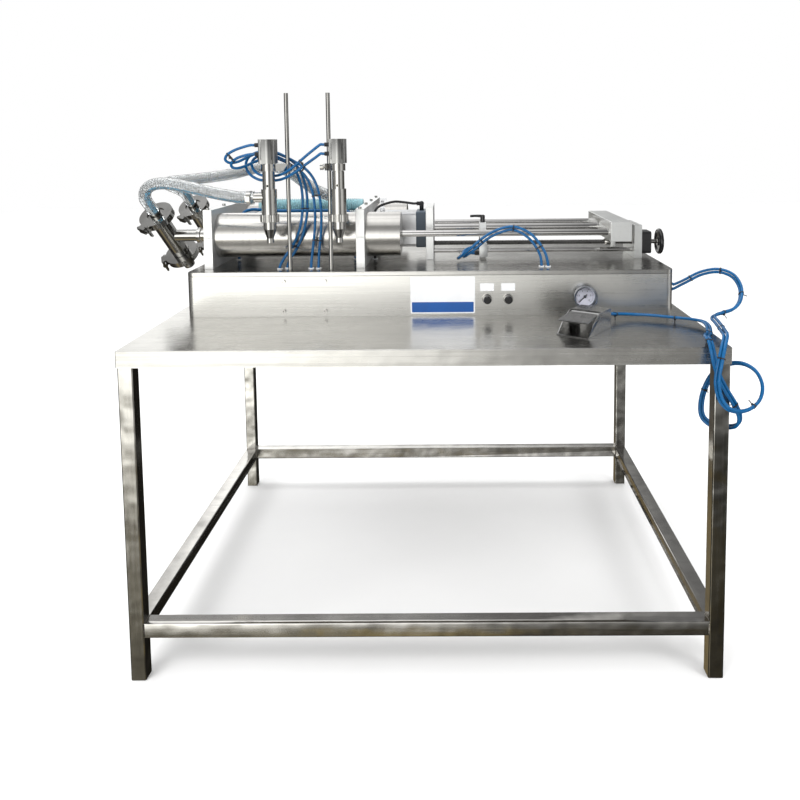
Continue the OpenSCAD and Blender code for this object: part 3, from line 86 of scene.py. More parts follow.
# Curve and mesh helpers, with the same curves as the solid model
def spline(points, n):
    """Smooth line through the points, n steps from one to the next."""
    p = np.asarray(points, float)
    out = []
    for i in range(len(p) - 1):
        a, b, c, d = p[max(i - 1, 0)], p[i], p[i + 1], p[min(i + 2, len(p) - 1)]
        for k in range(n):
            t = k / n
            square, cube = 2 * a - 5 * b + 4 * c - d, 3 * b - a - 3 * c + d
            out.append(0.5 * (2 * b + (c - a) * t + square * t ** 2 + cube * t ** 3))
    out.append(p[-1])
    return np.array(out)


def carried(p, n0):
    """Directions along a line and two across it, carried on from n0 without twist."""
    t = np.empty_like(p)
    t[1:-1] = p[2:] - p[:-2]
    t[0] = p[1] - p[0]
    t[-1] = p[-1] - p[-2]
    t /= np.linalg.norm(t, axis=1)[:, None]
    n = np.empty_like(p)
    v = np.asarray(n0, float)
    for i in range(len(p)):
        v = v - (v @ t[i]) * t[i]
        v /= np.linalg.norm(v)
        n[i] = v
    return t, n, np.cross(t, n)


def new_object(name, verts, faces, mat=None, smooth=True):
    me = bpy.data.meshes.new(name)
    me.from_pydata([tuple(v) for v in verts], [], faces)
    me.update()
    ob = bpy.data.objects.new(name, me)
    scene.collection.objects.link(ob)
    if mat:
        me.materials.append(mat)
    if smooth:
        me.polygons.foreach_set("use_smooth", [True] * len(me.polygons))
        me.set_sharp_from_angle(angle=math.radians(40))
    return ob


def skin(rows, sides, first=0, inward=False):
    """Faces between rings of points that follow each other; first is the first ring's first point."""
    faces = []
    for i in range(rows - 1):
        for k in range(sides):
            m = (k + 1) % sides
            a, b = first + i * sides, first + (i + 1) * sides
            faces.append((a + m, a + k, b + k, b + m) if inward else (a + k, a + m, b + m, b + k))
    return faces


def end_walls(rows, sides):
    """Faces that join the ends of an outer skin to those of an inner one with as many points."""
    inner, last = rows * sides, (rows - 1) * sides
    faces = []
    for k in range(sides):
        m = (k + 1) % sides
        faces.append((m, k, inner + k, inner + m))
        faces.append((last + k, last + m, inner + last + m, inner + last + k))
    return faces


def end_caps(rows, sides):
    last = (rows - 1) * sides
    return [tuple(range(sides - 1, -1, -1)), tuple(last + k for k in range(sides))]


def block(base):
    """Faces of a box of eight points, listed as three pairs of sides."""
    q = [base + v for v in range(8)]
    return [(q[0], q[2], q[6], q[4]), (q[1], q[5], q[7], q[3]), (q[0], q[1], q[3], q[2]),
            (q[4], q[6], q[7], q[5]), (q[0], q[4], q[5], q[1]), (q[2], q[3], q[7], q[6])]


def tube(name, p, r, sides, mat, n0=(0.3, 1, 0.2), inner=None):
    """Tube along p (metres); r is a number or one per point; inner makes it a hollow wall."""
    _, n, b = carried(p, n0)
    r = np.broadcast_to(np.asarray(r, float), (len(p),))
    ang = np.arange(sides) * 2 * math.pi / sides
    shape = np.cos(ang)[None, :, None] * n[:, None] + np.sin(ang)[None, :, None] * b[:, None]
    verts = (p[:, None] + r[:, None, None] * shape).reshape(-1, 3)
    faces = skin(len(p), sides)
    if inner is None:
        faces += end_caps(len(p), sides)
    else:
        faces += skin(len(p), sides, len(verts), True) + end_walls(len(p), sides)
        verts = np.vstack([verts, (p[:, None] + inner * shape).reshape(-1, 3)])
    return new_object(name, verts, faces, mat)


def along(p, step):
    """Points at even steps along p."""
    s = np.concatenate([[0], np.cumsum(np.linalg.norm(np.diff(p, axis=0), axis=1))])
    want = np.linspace(0, s[-1], max(2, int(s[-1] / step) + 1))
    return np.stack([np.interp(want, s, p[:, i]) for i in range(3)], axis=1), want


# Materials
def shader(name):
    mat = bpy.data.materials.new(name)
    mat.use_nodes = True
    nt = mat.node_tree
    return mat, nt, nt.nodes["Principled BSDF"]


def add(nt, kind, values=None, **links):
    node = nt.nodes.new(kind)
    for key, value in (values or {}).items():
        if isinstance(key, str) and hasattr(node, key):
            setattr(node, key, value)
        else:
            node.inputs[key].default_value = value
    for key, source in links.items():
        nt.links.new(source, node.inputs[key])
    return node


def noise(nt, scale, stretch=(1, 1, 1), detail=3.0, rough=0.55):
    place = add(nt, "ShaderNodeTexCoord")
    mapped = add(nt, "ShaderNodeMapping", {"Scale": stretch}, Vector=place.outputs["Object"])
    return add(nt, "ShaderNodeTexNoise", {"Scale": scale, "Detail": detail, "Roughness": rough},
               Vector=mapped.outputs["Vector"])


def ramp(nt, source, stops):
    """Colours by a value: each stop is a place and a colour, or one number for a grey."""
    node = add(nt, "ShaderNodeValToRGB")
    nt.links.new(source, node.inputs["Fac"])
    els = node.color_ramp.elements
    while len(els) < len(stops):
        els.new(0.5)
    for el, (pos, col) in zip(els, stops):
        el.position = pos
        el.color = (*(col if isinstance(col, tuple) else (col,) * 3), 1)
    return node


def spread(nt, source, low, high, lo=0.3, hi=0.7):
    return add(nt, "ShaderNodeMapRange", {"From Min": lo, "From Max": hi, "To Min": low, "To Max": high}, Value=source)


def mix(nt, share, a, b, kind="MIX"):
    """Colour between a and b, which are sockets or colours; share is a socket or a number."""
    node = add(nt, "ShaderNodeMix", {"data_type": "RGBA", "blend_type": kind})
    for key, value in ((0, share), (6, a), (7, b)):
        if isinstance(value, bpy.types.NodeSocket):
            nt.links.new(value, node.inputs[key])
        else:
            node.inputs[key].default_value = value
    return node.outputs[2]


def times(nt, a, b):
    return mix(nt, 1.0, a, b, "MULTIPLY")


def tint(c, k):
    return tuple(min(1.0, v * k) for v in c)


def metal(name, color, rough=(0.2, 0.36), stretch=(3, 700, 700), bump=0.12, stain=0.85, scratch=0.25, metallic=1.0,
          wave=0.0):
    """Brushed or polished metal: streaks along one axis, hairline scratches, faint stains and a wavy surface."""
    mat, nt, bsdf = shader(name)
    streak = noise(nt, 1.0, stretch, 4.0, 0.6)
    cloud = noise(nt, 6.0, (1, 1, 1), 5.0, 0.6)
    hair = noise(nt, 1.0, tuple(0.35 * v if v == max(stretch) else 1.7 * v for v in stretch), 2.0, 0.7)
    both = add(nt, "ShaderNodeMix", {"data_type": "FLOAT", 0: 0.45})
    nt.links.new(streak.outputs["Fac"], both.inputs[2])
    nt.links.new(cloud.outputs["Fac"], both.inputs[3])
    nt.links.new(spread(nt, both.outputs[0], rough[0], rough[1], 0.36, 0.64).outputs[0], bsdf.inputs["Roughness"])
    shade = ramp(nt, cloud.outputs["Fac"], [(0.32, tint(color, stain)), (0.6, color)])
    lines = spread(nt, hair.outputs["Fac"], 0, scratch, 0.56, 0.72)
    mixed = mix(nt, lines.outputs[0], shade.outputs["Color"], (*tint(color, 0.55), 1))
    nt.links.new(mixed, bsdf.inputs["Base Color"])
    bsdf.inputs["Metallic"].default_value = metallic
    push = add(nt, "ShaderNodeBump", {"Strength": bump, "Distance": 0.0004}, Height=streak.outputs["Fac"])
    if wave:
        slow = noise(nt, 9.0, (1, 1, 1), 2.0)
        swell = add(nt, "ShaderNodeBump", {"Strength": wave, "Distance": 0.01}, Height=slow.outputs["Fac"])
        nt.links.new(swell.outputs["Normal"], push.inputs["Normal"])
    nt.links.new(push.outputs["Normal"], bsdf.inputs["Normal"])
    return mat


def plastic(name, color, rough=(0.22, 0.34), grain=900, bump=0.05, coat=0.0, low=0.85):
    """Moulded plastic, rubber or paint: fine grain and a slight change of tone and gloss."""
    mat, nt, bsdf = shader(name)
    fine = noise(nt, grain, (1, 1, 1), 2.0)
    cloud = noise(nt, 22.0, (1, 1, 1), 4.0, 0.6)
    nt.links.new(spread(nt, cloud.outputs["Fac"], rough[0], rough[1]).outputs[0], bsdf.inputs["Roughness"])
    shade = ramp(nt, cloud.outputs["Fac"], [(0.35, tint(color, low)), (0.7, color)])
    nt.links.new(shade.outputs["Color"], bsdf.inputs["Base Color"])
    bsdf.inputs["Coat Weight"].default_value = coat
    push = add(nt, "ShaderNodeBump", {"Strength": bump, "Distance": 0.0003}, Height=fine.outputs["Fac"])
    nt.links.new(push.outputs["Normal"], bsdf.inputs["Normal"])
    return mat


def clear(name, color, rough=(0.08, 0.2), transmission=0.85, ior=1.15, haze=0.8):
    """Clear hose or lens: faint haze and scuffs."""
    mat, nt, bsdf = shader(name)
    scuff = noise(nt, 60.0, (1, 1, 1), 4.0, 0.6)
    nt.links.new(spread(nt, scuff.outputs["Fac"], rough[0], rough[1]).outputs[0], bsdf.inputs["Roughness"])
    shade = ramp(nt, scuff.outputs["Fac"], [(0.3, tint(color, haze)), (0.65, color)])
    nt.links.new(shade.outputs["Color"], bsdf.inputs["Base Color"])
    bsdf.inputs["Transmission Weight"].default_value = transmission
    bsdf.inputs["IOR"].default_value = ior
    push = add(nt, "ShaderNodeBump", {"Strength": 0.06, "Distance": 0.0004}, Height=scuff.outputs["Fac"])
    nt.links.new(push.outputs["Normal"], bsdf.inputs["Normal"])
    return mat


def painted_light_profile(name, x0, half):
    """Drawn aluminium profile: grey, with painted shade for two dark sensor slots and painted highlights for bright
    lips along each face.
    """
    mat = metal(name, (0.36, 0.36, 0.35), (0.26, 0.38), (3, 420, 420), 0.1, 0.9, 0.12, 0.85)
    nt = mat.node_tree
    bsdf = nt.nodes["Principled BSDF"]
    plain = bsdf.inputs["Base Color"].links[0].from_socket
    place = add(nt, "ShaderNodeTexCoord")
    axes = add(nt, "ShaderNodeSeparateXYZ", None, Vector=place.outputs["Object"])
    across = add(nt, "ShaderNodeMapRange", {"From Min": x0 - half, "From Max": x0 + half}, Value=axes.outputs["X"])
    # Base colour scaled in bands across X: the values above one are painted highlights on the lips, and the dark dips
    # are painted shade in the slots.
    painted_light_bands = ramp(nt, across.outputs[0], [
        (0.0, 0.5), (0.04, 1), (0.2, 0.95), (0.24, 1.3), (0.28, 1), (0.46, 1), (0.5, 1.7), (0.56, 0.8), (0.6, 0.3),
        (0.76, 0.34), (0.80, 0.08), (0.85, 1.5), (0.9, 0.4), (1.0, 0.6),
    ])
    nt.links.new(times(nt, plain, painted_light_bands.outputs["Color"]), bsdf.inputs["Base Color"])
    return mat


brushed_x = metal("brushed_sheet", (0.62, 0.605, 0.58), (0.22, 0.36), (2.5, 600, 600))
casing_sheet = metal("casing_sheet", (0.76, 0.75, 0.72), (0.24, 0.36), (2.0, 500, 500), 0.1, 0.9)
lid_sheet = metal("lid_sheet", (0.62, 0.61, 0.585), (0.16, 0.32), (2.0, 420, 420), 0.1, 0.8)
table_sheet = metal("table_sheet", (0.68, 0.67, 0.645), (0.16, 0.32), (1.5, 240, 240), 0.1, 0.8, wave=0.12)
tube_metal = metal("polished_tube", (0.62, 0.605, 0.575), (0.10, 0.24), (160, 160, 3), 0.1, 0.7, wave=0.5)
rail_metal = metal("polished_rail", (0.62, 0.605, 0.58), (0.12, 0.26), (2.5, 160, 160), 0.1, 0.74, wave=0.4)
weld_metal = metal("weld_bead", (0.45, 0.42, 0.38), (0.22, 0.4), (120, 120, 120), 0.2, 0.6)
turned = metal("turned_steel", (0.64, 0.625, 0.60), (0.14, 0.26), (500, 6, 6), 0.06, 0.88)
polished = metal("polished_fitting", (0.64, 0.63, 0.605), (0.08, 0.20), (60, 60, 60), 0.04, 0.8)
valve_metal = metal("valve_metal", (0.52, 0.515, 0.50), (0.06, 0.16), (60, 60, 60), 0.04, 0.75)
rod_chrome = metal("ground_rod", (0.74, 0.73, 0.72), (0.05, 0.13), (700, 8, 8), 0.03, 0.92)
post_steel = metal("post_steel", (0.50, 0.49, 0.47), (0.06, 0.16), (8, 8, 500), 0.03, 0.8, wave=0.25)
bright_plate = metal("bright_plate", (0.92, 0.925, 0.92), (0.32, 0.46), (300, 300, 300), 0.08, 0.93, 0.1, 0.8)
satin_bar = metal("satin_bar", (0.84, 0.85, 0.84), (0.34, 0.48), (300, 4, 300), 0.08, 0.93, 0.1, 0.86)
bezel_chrome = metal("bezel_chrome", (0.50, 0.53, 0.60), (0.10, 0.22), (90, 90, 90), 0.03, 0.85)
profile = metal("anodised_profile", (0.74, 0.745, 0.76), (0.3, 0.42), (3, 420, 420), 0.1, 0.92, 0.12)
thread_steel = metal("thread_steel", (0.24, 0.235, 0.23), (0.22, 0.42), (300, 300, 300), 0.05, 0.6)
pedal_metal = metal("pedal_chrome", (0.50, 0.50, 0.50), (0.14, 0.3), (90, 90, 90), 0.06, 0.7)
wire_steel = metal("hose_wire", (0.34, 0.34, 0.34), (0.2, 0.34), (200, 200, 200), 0.03, 0.9)
cap_paint = plastic("cap_paint", (0.075, 0.10, 0.13), (0.35, 0.5), 700)
black_gloss = plastic("black_gloss", (0.012, 0.012, 0.013), (0.10, 0.22), 900, 0.03, 0.4)
black_matt = plastic("black_matt", (0.02, 0.02, 0.022), (0.4, 0.55), 1200, 0.08)
white_plastic = plastic("white_plastic", (0.86, 0.87, 0.88), (0.3, 0.42), 900, 0.03, 0.0, 0.95)
plate_blue = plastic("plate_blue", (0.015, 0.10, 0.36), (0.3, 0.42), 900, 0.03, 0.1)
dial_face = plastic("dial_face", (0.80, 0.80, 0.90), (0.4, 0.5), 900, 0.02, 0.0, 0.96)
blue_tube = plastic("blue_tube", (0.003, 0.10, 0.27), (0.2, 0.32), 500, 0.03, 0.12, 0.75)
needle_paint = plastic("needle_paint", (0.02, 0.02, 0.025), (0.35, 0.45))
hose_clear = clear("hose_clear", (0.87, 0.89, 0.895), (0.06, 0.16), 0.86, 1.22, 0.92)
hose_teal = clear("hose_teal", (0.50, 0.78, 0.84), (0.12, 0.28), 0.55, 1.2, 0.75)
stripe_teal = plastic("hose_stripe", (0.012, 0.26, 0.44), (0.3, 0.4), 600)
lens_glass = clear("lens_glass", (0.97, 0.98, 1.0), (0.02, 0.05), 1.0, 1.05, 0.97)
lens_glass.node_tree.nodes["Principled BSDF"].inputs["Alpha"].default_value = 0.1

# Cord routes in millimetres, as in the solid model: written for the casing's front left corner at (-634, -150)
BASE = np.array([-6.25, -56.5, 0])
EDGE = np.array([807.75, -572.5, 850])
LID, AXIS, VALVE_X = 980, 1072, -732
BRANCH = np.array([
    -math.sin(math.radians(12)),
    -math.cos(math.radians(12)) * math.sin(math.radians(39)),
    math.cos(math.radians(12)) * math.cos(math.radians(39)),
])
NOZZLE_X, NOZZLE_Y = [-386, -187], -152
NOZZLE = [np.array([NOZZLE_X[0], NOZZLE_Y, 1198.0]), np.array([NOZZLE_X[1], NOZZLE_Y, 1173.0])]
INLET = [np.array([-1.0, 0, 0]), np.array([-0.1, 0.98, 0.15]) / np.linalg.norm([-0.1, 0.98, 0.15])]
PORT_OUT, PORT_Z = 37.1, [1321, 1347]
AIR_TUBE, AIR_SIDES = 0.008, 14
HOSE_OUT, HOSE_IN, COIL_PITCH, COIL_R = 0.0175, 0.0125, 0.0085, 0.0165
hose_front_mid = [
    [-766, -94, 1194], [-761, -101, 1215], [-743, -107, 1231], [-712, -112, 1238], [-670, -117, 1235],
    [-624, -123, 1226], [-577, -131, 1216], [-535, -140, 1208], [-500, -147, 1202],
]
hose_rear_mid = [
    [-777, 233, 1196], [-797, 217, 1209], [-810, 200, 1218], [-806, 182, 1226], [-784, 166, 1231],
    [-745, 151, 1235], [-690, 135, 1240], [-620, 113, 1248], [-555, 93, 1258], [-498, 73, 1271], [-448, 55, 1280],
    [-398, 36, 1277], [-350, 17, 1256], [-312, 0, 1231], [-275, -14, 1208], [-241, -22, 1195], [-211, -38, 1188],
]
left_tube_a = [
    [-452, -152, 1343], [-482, -150, 1333], [-504, -147, 1320], [-511, -143, 1306], [-500, -138, 1297],
    [-478, -130, 1300], [-454, -121, 1312], [-428, -112, 1323], [-400, -104, 1327], [-372, -99, 1322],
    [-346, -97, 1311], [-322, -96, 1298], [-300, -96, 1284], [-281, -95, 1266], [-266, -94, 1243],
    [-256, -93, 1214], [-250, -93, 1180], [-248, -92, 1135], [-251, -90, 1085], [-257, -89, 1035],
]
left_tube_b = [
    [-452, -151, 1318], [-476, -149, 1310], [-492, -145, 1298], [-494, -140, 1286], [-482, -133, 1281],
    [-460, -124, 1287], [-434, -114, 1299], [-408, -106, 1308], [-380, -101, 1309], [-352, -99, 1299],
    [-328, -98, 1286], [-306, -98, 1271], [-289, -98, 1252], [-277, -97, 1226], [-269, -96, 1192],
    [-266, -95, 1150], [-268, -93, 1100], [-275, -91, 1045], [-280, -90, 1010],
]
right_tube_a = [
    [-250, -152, 1311], [-276, -151, 1293], [-300, -149, 1276], [-324, -146, 1261], [-348, -136, 1250],
    [-371, -124, 1245], [-396, -117, 1244], [-424, -113, 1247], [-449, -109, 1261], [-462, -104, 1282],
    [-462, -96, 1303], [-448, -88, 1320], [-420, -81, 1329], [-388, -77, 1327], [-358, -74, 1315],
    [-332, -73, 1297], [-312, -74, 1273], [-300, -76, 1243], [-293, -78, 1208], [-291, -79, 1168],
    [-295, -80, 1126], [-306, -81, 1082], [-324, -81, 1042], [-344, -81, 1012],
]
right_tube_b = [
    [-250, -152, 1337], [-278, -151, 1315], [-304, -150, 1293], [-328, -148, 1275], [-352, -138, 1263],
    [-374, -125, 1258], [-398, -117, 1257], [-422, -113, 1262], [-440, -108, 1276], [-446, -102, 1295],
    [-436, -95, 1311], [-412, -90, 1318], [-384, -86, 1315], [-358, -84, 1304], [-336, -83, 1288],
    [-320, -84, 1266], [-310, -86, 1240], [-304, -88, 1208], [-303, -89, 1170], [-307, -90, 1128],
    [-318, -91, 1085], [-338, -92, 1045], [-360, -93, 1014],
]
carriage_tube_a = [
    [398, -82, 1014], [383, -78, 1043], [363, -73, 1066], [338, -68, 1082], [313, -65, 1089], [288, -63, 1083],
    [259, -61, 1071], [232, -59, 1053], [206, -55, 1030], [184, -45, 1012], [174, -26, 1003], [170, 0, 1002],
    [170, 26, 1006], [178, 50, 1013],
]
carriage_tube_b = [
    [413, -87, 1020], [394, -83, 1052], [371, -78, 1077], [342, -73, 1093], [313, -70, 1099], [283, -68, 1093],
    [252, -66, 1080], [224, -64, 1061], [196, -59, 1036], [171, -49, 1013], [158, -28, 1000], [154, 0, 994],
    [157, 30, 992], [165, 50, 995], [176, 60, 998],
]
pedal_out = [
    [556, -256, 876], [580, -238, 871], [610, -222, 867], [645, -216, 864], [690, -228, 864], [741, -254, 864],
    [782, -280, 865], [806, -312, 866], [806, -356, 866], [794, -404, 865], [778, -450, 866],
]
pedal_hang = [
    [-56, 22, 22], [-58, -8, 18], [-56, -24, -4], [-50, -25, -34], [-38, -18, -66], [-18, -12, -102],
    [4, -12, -138], [18, -8, -170], [20, 12, -198], [8, 46, -216], [-16, 78, -224], [-40, 92, -202],
    [-40, 92, -152], [-22, 84, -98], [4, 60, -62], [34, 30, -49], [58, 4, -60], [68, -14, -88], [60, -26, -118],
    [36, -36, -138], [4, -44, -144], [-26, -50, -134], [-46, -52, -108], [-54, -53, -68], [-48, -52, -24],
    [-36, -38, 12], [-20, -6, 30],
]
pedal_back = [
    [806, -470, 880], [816, -420, 879], [824, -370, 879], [830, -330, 879], [846, -298, 879], [876, -272, 880],
    [914, -248, 885], [944, -214, 902], [958, -176, 932], [950, -136, 958], [918, -106, 968], [876, -82, 956],
    [836, -64, 930], [806, -56, 913],
]
supply_route = [
    [-547, 96, 1060], [-543, 97, 1103], [-530, 100, 1131], [-506, 109, 1141], [-465, 116, 1138],
    [-400, 119, 1135], [-325, 121, 1135], [-255, 120, 1135], [-217, 114, 1136], [-192, 103, 1129],
    [-178, 97, 1103], [-173, 92, 1055],
]
black_route = [
    [-18, 163, 1156], [-50, 156, 1159], [-80, 144, 1153], [-100, 124, 1145], [-109, 104, 1133], [-111, 93, 1107],
    [-110, 89, 1070], [-110, 89, 1025],
]
grommet_marks = [
    [-260, -89], [-282, -90], [-354, -81], [-374, -93], [402, -84], [421, -88],
    [-548, 96], [-172, 90], [-110, 89],
]


def here(x, y, z):
    """A place on the machine, written as in the routes, in metres in the shared frame."""
    return (np.array([x, y, z]) + BASE) * 0.001


def valve_point(y, s):
    return np.array([VALVE_X, y, AXIS]) + s * BRANCH


def inlet_point(i, s):
    return NOZZLE[i] + s * INLET[i]


def hose_route(y, i, mid):
    first = [valve_point(y, 106 + s) for s in (1, 14, 27, 38)]
    return [*first, *mid, *(inlet_point(i, 43 + s) for s in (44, 31, 15, 0))]


def into_lid(i):
    return [[*grommet_marks[i], LID + 8], [*grommet_marks[i], LID - 8]]


def out_of_lid(i):
    return into_lid(i)[::-1]


def declare(node):
    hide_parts(node)


# Product hoses: clear wall, steel wire helix and a coloured stripe
def product_hose(name, y, i, mid, node):
    p = (spline(hose_route(y, i, mid), 5) + BASE) * 0.001
    upright = (0, 1, 0.2)
    wall = tube(name, p, HOSE_OUT, 28, hose_clear, upright, inner=HOSE_IN)
    fine, s = along(p, 0.00045)
    _, n, b = carried(fine, upright)
    turn = 2 * math.pi * s / COIL_PITCH
    coil = fine + COIL_R * (np.cos(turn)[:, None] * n + np.sin(turn)[:, None] * b)
    wire = tube(name + "_wire", coil[20:-20:5], 0.0011, 6, wire_steel)
    mid_line, _ = along(p, 0.006)
    _, n, b = carried(mid_line, upright)
    verts, faces = [], []
    for a in np.radians([196, 212, 228, 244, 260]):
        verts.extend(mid_line + (HOSE_IN + 0.0006) * (math.cos(a) * n + math.sin(a) * b))
    m = len(mid_line)
    for k in range(4):
        for j in range(m - 1):
            faces.append((k * m + j, k * m + j + 1, (k + 1) * m + j + 1, (k + 1) * m + j))
    stripe = new_object(name + "_stripe", verts, faces, stripe_teal)
    for ob in (wall, wire, stripe):
        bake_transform(ob)
    declare(node)


product_hose("hose_front", 0, 0, hose_front_mid, "product_hose_front")
product_hose("hose_rear", 330, 1, hose_rear_mid, "product_hose_rear")


# Air tubes
def air_tube(name, points, node, body=None, start=None, end=None, d=AIR_TUBE, mat=blue_tube):
    p = (spline(points, 6) + BASE) * 0.001
    ob = tube(name, p, d / 2, AIR_SIDES, mat)
    if body:
        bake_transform(ob)
    else:
        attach(ob, "machine")
    declare(node)
    return p


def shared_tube(name, points, node):
    """A tube from the right nozzle that loops round the left one, split in two at the x where reach starts."""
    p = (spline(points, 6) + BASE) * 0.001
    x = reach["start"][0]
    i = int(np.argmax(p[:, 0] < x))
    w = (x - p[i - 1, 0]) / (p[i, 0] - p[i - 1, 0])
    p = np.insert(p, i, p[i - 1] + w * (p[i] - p[i - 1]), axis=0)
    for end, q, body, span in (("", p[:i + 1], "nozzle_right", reach), ("_loop", p[i:], "nozzle_left", pass_by)):
        ob = tube(name + end, q, AIR_TUBE / 2, AIR_SIDES, blue_tube)
        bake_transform(ob)
        declare(node)
    return p


def from_port(i, k, route, hole):
    a = np.array([NOZZLE_X[i] - PORT_OUT, NOZZLE_Y, PORT_Z[k]])
    return [a, a - [6, 0, 0], a - [12, 0, 0], *route, *into_lid(hole)]


def to_limit(hole, route, z):
    a = np.array([207.9, 65, z])
    return [*out_of_lid(hole), *route, a - [14, 0, 0], a - [7, 0, 0], a]


lift = dict(start=(0, 0, 1.03), end=(0, 0, 1.28))
reach = dict(start=tuple(here(-296, 0, 0)), end=tuple(here(-238, 0, 0)))
pass_by = dict(start=tuple(here(-300, 0, 1306.7)), end=tuple(here(-327.4, 0, 1310.8)))
slip = dict(start=(0.42, 0, 0), end=(0.165, 0, 0))
LINE = {}
LINE["la"] = air_tube("nozzle_tube_la", from_port(0, 1, left_tube_a, 0), "nozzle_tubes", "nozzle_left", **lift)
LINE["lb"] = air_tube("nozzle_tube_lb", from_port(0, 0, left_tube_b, 1), "nozzle_tubes", "nozzle_left", **lift)
LINE["ra"] = shared_tube("nozzle_tube_ra", from_port(1, 0, right_tube_a, 2), "nozzle_tubes")
LINE["rb"] = shared_tube("nozzle_tube_rb", from_port(1, 1, right_tube_b, 3), "nozzle_tubes")
LINE["ca"] = air_tube("carriage_tube_a", to_limit(4, carriage_tube_a, 1018), "carriage_tubes", "carriage", **slip)
LINE["cb"] = air_tube("carriage_tube_b", to_limit(5, carriage_tube_b, 1000), "carriage_tubes", "carriage", **slip)
LINE["supply"] = air_tube("supply_tube", [*out_of_lid(6), *supply_route, *into_lid(7)], "machine_tubes", d=0.010)
elbow = np.array([21.4, 165, 1152])
LINE["black"] = air_tube("black_tube", [elbow, elbow - [6, 0, 0], elbow - [12, 0, 0], *black_route, *into_lid(8)],
                         "machine_tubes", mat=black_matt)

# Twin line from the pedal round the table's corner, opened out to its ports and turned about itself on the way
turn_p = math.radians(-34)
side = np.array([math.cos(turn_p), math.sin(turn_p), 0])
out = np.array([-math.sin(turn_p), math.cos(turn_p), 0])
pedal_exit = np.array([485, -346, 876.0]) + out * 89.1
end_port = np.array([790.1, -56, 912])
middle = spline([
    pedal_exit, pedal_exit + 5 * out, pedal_exit + 10 * out, *pedal_out, *(np.array(pedal_hang) + EDGE - BASE),
    *pedal_back, end_port + [10, 0, 0], end_port + [5, 0, 0], end_port,
], 5)
middle = (middle + BASE) * 0.001
_, n_mid, b_mid = carried(middle, side)
last = len(middle) - 1
twist = math.atan2(b_mid[-1][2], n_mid[-1][2])
u = np.arange(last + 1) / 5
open_out = 0.5 + 0.5 * np.cos(np.radians(60 * (np.clip(np.minimum(u, u[::-1]), 1, 4) - 1)))
half = 0.0045 * (1 + open_out)
angle = twist * np.clip((u - 3) / (last / 5 - 6), 0, 1)
pair = np.cos(angle)[:, None] * n_mid + np.sin(angle)[:, None] * b_mid
for tag, s in (("a", -1), ("b", 1)):
    p = middle + s * half[:, None] * pair
    ob = tube("pedal_tube_" + tag, p, AIR_TUBE / 2, AIR_SIDES, blue_tube)
    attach(ob, "machine")
    declare("pedal_tubes")
    LINE["p" + tag] = p

# Finishes of the CAD nodes that stay as they are
for name, mat in {
    "base_casing": casing_sheet, "post_sockets": brushed_x, "panel_plates": white_plastic,
    "selector_knob_left": black_gloss, "selector_knob_right": black_gloss, "air_valves": polished,
    "gauge_needle": needle_paint, "gauge_lens": lens_glass, "socket_screws": polished,
    "product_cylinders": turned, "cylinder_heads": turned, "rod_guides": turned, "pistons": turned,
    "piston_rods": rod_chrome, "air_barrel": profile, "air_rod": rod_chrome, "carriage_rail": rod_chrome,
    "handwheel": black_gloss, "valve_bodies": valve_metal, "valve_clamps": valve_metal, "hose_tails": valve_metal,
    "outlet_poppets": turned, "inlet_poppets": turned, "nozzle_posts": post_steel,
    **{f"nozzle_{tag}_{part}": polished for tag in ("left", "right") for part in ("clamp", "body", "tip", "stem")},
}.items():
    NODE[name].data.materials.clear()
    NODE[name].data.materials.append(mat)


# Copies of CAD nodes with rounded edges or several finishes
def dress(node, mats, pick=None, bevel=0.0, which=None, segments=2, angle=35, crisp=28):
    """A copy of a CAD node's shape that stands for it.

    Edges that which() names are rounded, pick() gives each face's finish, and edges over crisp degrees stay sharp.
    """
    bm = bmesh.new()
    bm.from_mesh(NODE[node].data)
    bmesh.ops.remove_doubles(bm, verts=bm.verts, dist=2e-6)
    if bevel:
        bmesh.ops.dissolve_limit(bm, angle_limit=math.radians(0.5), verts=bm.verts, edges=bm.edges)
        edges = []
        for e in bm.edges:
            if len(e.link_faces) != 2 or e.calc_face_angle(0) < math.radians(angle) or not e.is_convex:
                continue
            if which is None or which((e.verts[0].co + e.verts[1].co) / 2, (e.verts[1].co - e.verts[0].co)):
                edges.append(e)
        bmesh.ops.bevel(bm, geom=edges, offset=bevel, offset_type="OFFSET", segments=segments, profile=0.5,
                        affect="EDGES", clamp_overlap=False)
    me = bpy.data.meshes.new(node + "_shape")
    if pick:
        bm.normal_update()
        for f in bm.faces:
            f.material_index = pick(f.calc_center_median(), f.normal)
    bm.to_mesh(me)
    bm.free()
    ob = bpy.data.objects.new(node + "_shape", me)
    scene.collection.objects.link(ob)
    for m in mats:
        me.materials.append(m)
    me.polygons.foreach_set("use_smooth", [True] * len(me.polygons))
    me.set_sharp_from_angle(angle=math.radians(crisp))
    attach(ob, BODY[node])
    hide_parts(node)
    return ob


def near(a, b, tol=0.0006):
    return abs(a - b) < tol


dress("table_top", [table_sheet], None, 0.0022,
      lambda c, d: near(c.z, 0.85) or (abs(d.z) > 0.03 and abs(c.y) > 0.571), 3, crisp=14)
dress("table_legs", [tube_metal], None, 0.003, lambda c, d: abs(d.z) > 0.3, 3, crisp=14)
dress("table_rails", [rail_metal], None, 0.003, lambda c, d: d.length > 0.3, 3, crisp=14)
lid_lo, lid_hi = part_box("base_lid")


def lid_rim(c, d):
    border = 0.021
    return near(c.z, 0.98) and (c.x < lid_lo[0] + border or c.x > lid_hi[0] - border
                                or c.y < lid_lo[1] + border or c.y > lid_hi[1] - border)


